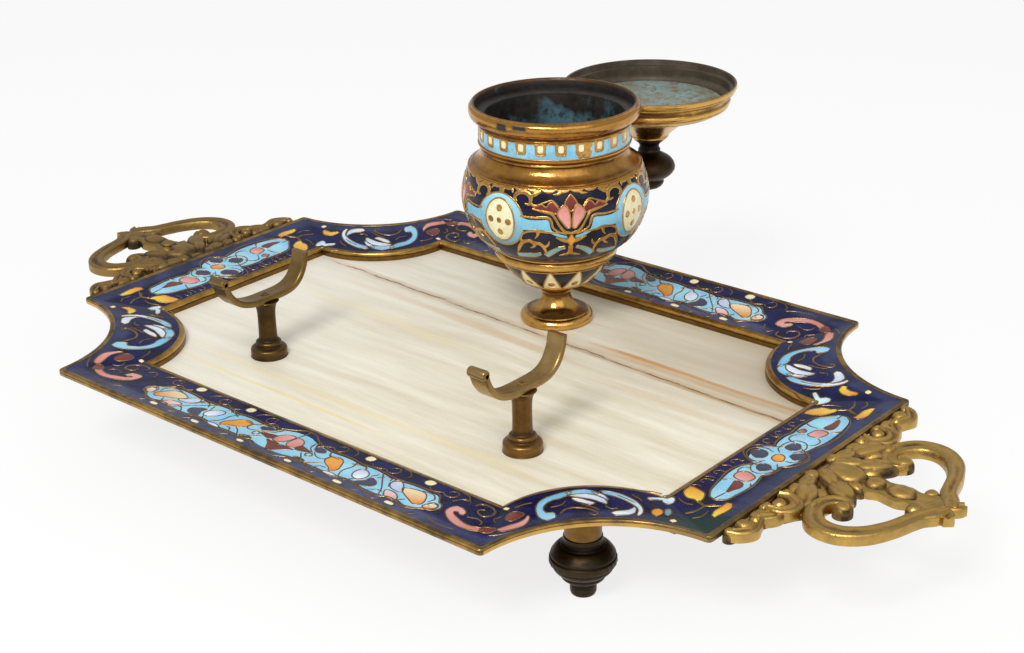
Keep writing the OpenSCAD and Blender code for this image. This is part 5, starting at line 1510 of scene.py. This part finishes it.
def makeWellInlay():
    # one piece of enamel cells and one of gilt wires for each stage of the well
    for name, make in (("body", bodyInlay), ("band", bandInlay), ("bowl", bowlInlay)):
        cells, wires = make()
        addPiece(f"wellCells_{name}", cells, "stand", finish["cells"], colour=True, sharp=50,
                 weld=1e-9)
        addPiece(f"wellWires_{name}", wires, "stand", finish["giltWire"], sharp=50, weld=1e-9)


makeWellInlay()



lid = dict(n=160, shellN=240, finialN=96, innerFrom=38,
           shell=[[28.75, 0.05], [28.85, 0.3], [28.85, 1.2], [28.6, 1.6], [28.2, 1.95], [28.25, 2.3],
                  [27.8, 2.75], [27.2, 3.2], [26.8, 3.8], [26.55, 4.4], [26.5, 4.75], [26.75, 5.1],
                  [26.85, 5.6], [26.7, 6.2], [26.3, 6.7], [26.35, 7.0], [25.9, 7.5], [25.0, 8.0],
                  [24.3, 8.25], [24.0, 8.6], [23.0, 8.8], [21.0, 9.25], [19.2, 9.8], [17.2, 10.45],
                  [15.2, 11.3], [13.4, 12.2], [11.8, 13.4], [10.4, 14.3], [9.3, 15.2], [8.3, 16.0],
                  [7.6, 16.7], [6.9, 17.4], [6.4, 18.1], [6.45, 18.5], [6.1, 18.9], [5.6, 19.38],
                  [2.6, 19.38], [2.6, 17.9], [4.6, 17.5], [6.2, 16], [8.4, 14.2], [11.2, 12.0], [14.8, 9.9],
                  [18.8, 8.4], [22.6, 7.4], [24.5, 7.2], [24.6, 6.2], [25.0, 5.6], [25.4, 5.2], [25.9, 4.9],
                  [26.4, 4.6], [26.5, 3.4], [26.6, 2.2], [27.0, 1.95], [27.6, 1.8], [27.8, 1.0],
                  [27.95, 0.15], [28.2, 0.0], [28.5, 0.0]],
           finial=[[0, 16.95], [2.5, 16.95], [2.5, 19.4], [5.1, 19.42], [5.2, 19.7], [4.9, 20.0],
                   [4.1, 20.6], [3.5, 21.3], [3.25, 21.9], [3.3, 22.6], [3.7, 23.1], [3.75, 23.6],
                   [3.6, 24.0], [4.2, 24.6], [5.4, 25.2], [6.6, 25.9], [7.6, 26.7], [8.4, 27.8],
                   [8.8, 29.0], [8.75, 30.0], [8.2, 31.0], [7.4, 31.9], [6.5, 32.6], [5.7, 33.1],
                   [5.2, 33.5], [4.95, 33.9], [5.05, 34.3], [5.1, 34.8], [4.85, 35.4], [4.4, 36.0],
                   [3.5, 36.65], [2.2, 37.2], [0, 37.45]],
           disc=[[0, 6.4], [23.9, 6.4], [24.35, 6.5], [24.4, 6.7], [24.4, 7.18], [0, 7.18]],
           # room for the hinge's lid leaf: half width, distance behind the axis, from and to z
           notch=(3.1, 26.3, -1.0, 2.0))


def makeLid():
    # the shell with its stepped edge, the lining inside it and the knob, all turned about the lid's axis
    turnedPiece("lidShell", "lid", lid["shell"], onLid, lid["shellN"], "lidGilt", "gilt_brass", "lid_body",
                wobble=cutFlat(*lid["notch"]), closed=True, inside=(lid["innerFrom"], None))
    turnedPiece("lidLiningDisc", "lid_lining", lid["disc"], onLid, lid["n"], "lidInside", "lid_patina",
                "lid_body")
    turnedPiece("lidFinialTurned", "lid_finial", lid["finial"], onLid, lid["finialN"], "bronze",
                "dark_bronze", "lid_body")


makeLid()
print("well and lid ready")


nodeFinish = dict(stone_wall="plainBrass", onyx_slab="onyx", base_plate="plainBrass", plate_screws="steel",
                  handle_screws="steel", stud_nuts="steel", stud_washers="steel", well_bolt="steel",
                  hinge_well_leaf="plainGilt", hinge_lid_leaf="plainGilt", hinge_pin="plainBrass")
for nodeName, finishName in nodeFinish.items():
    me = bpy.data.objects[nodeName].data
    me.materials.clear()
    me.materials.append(finish[finishName])
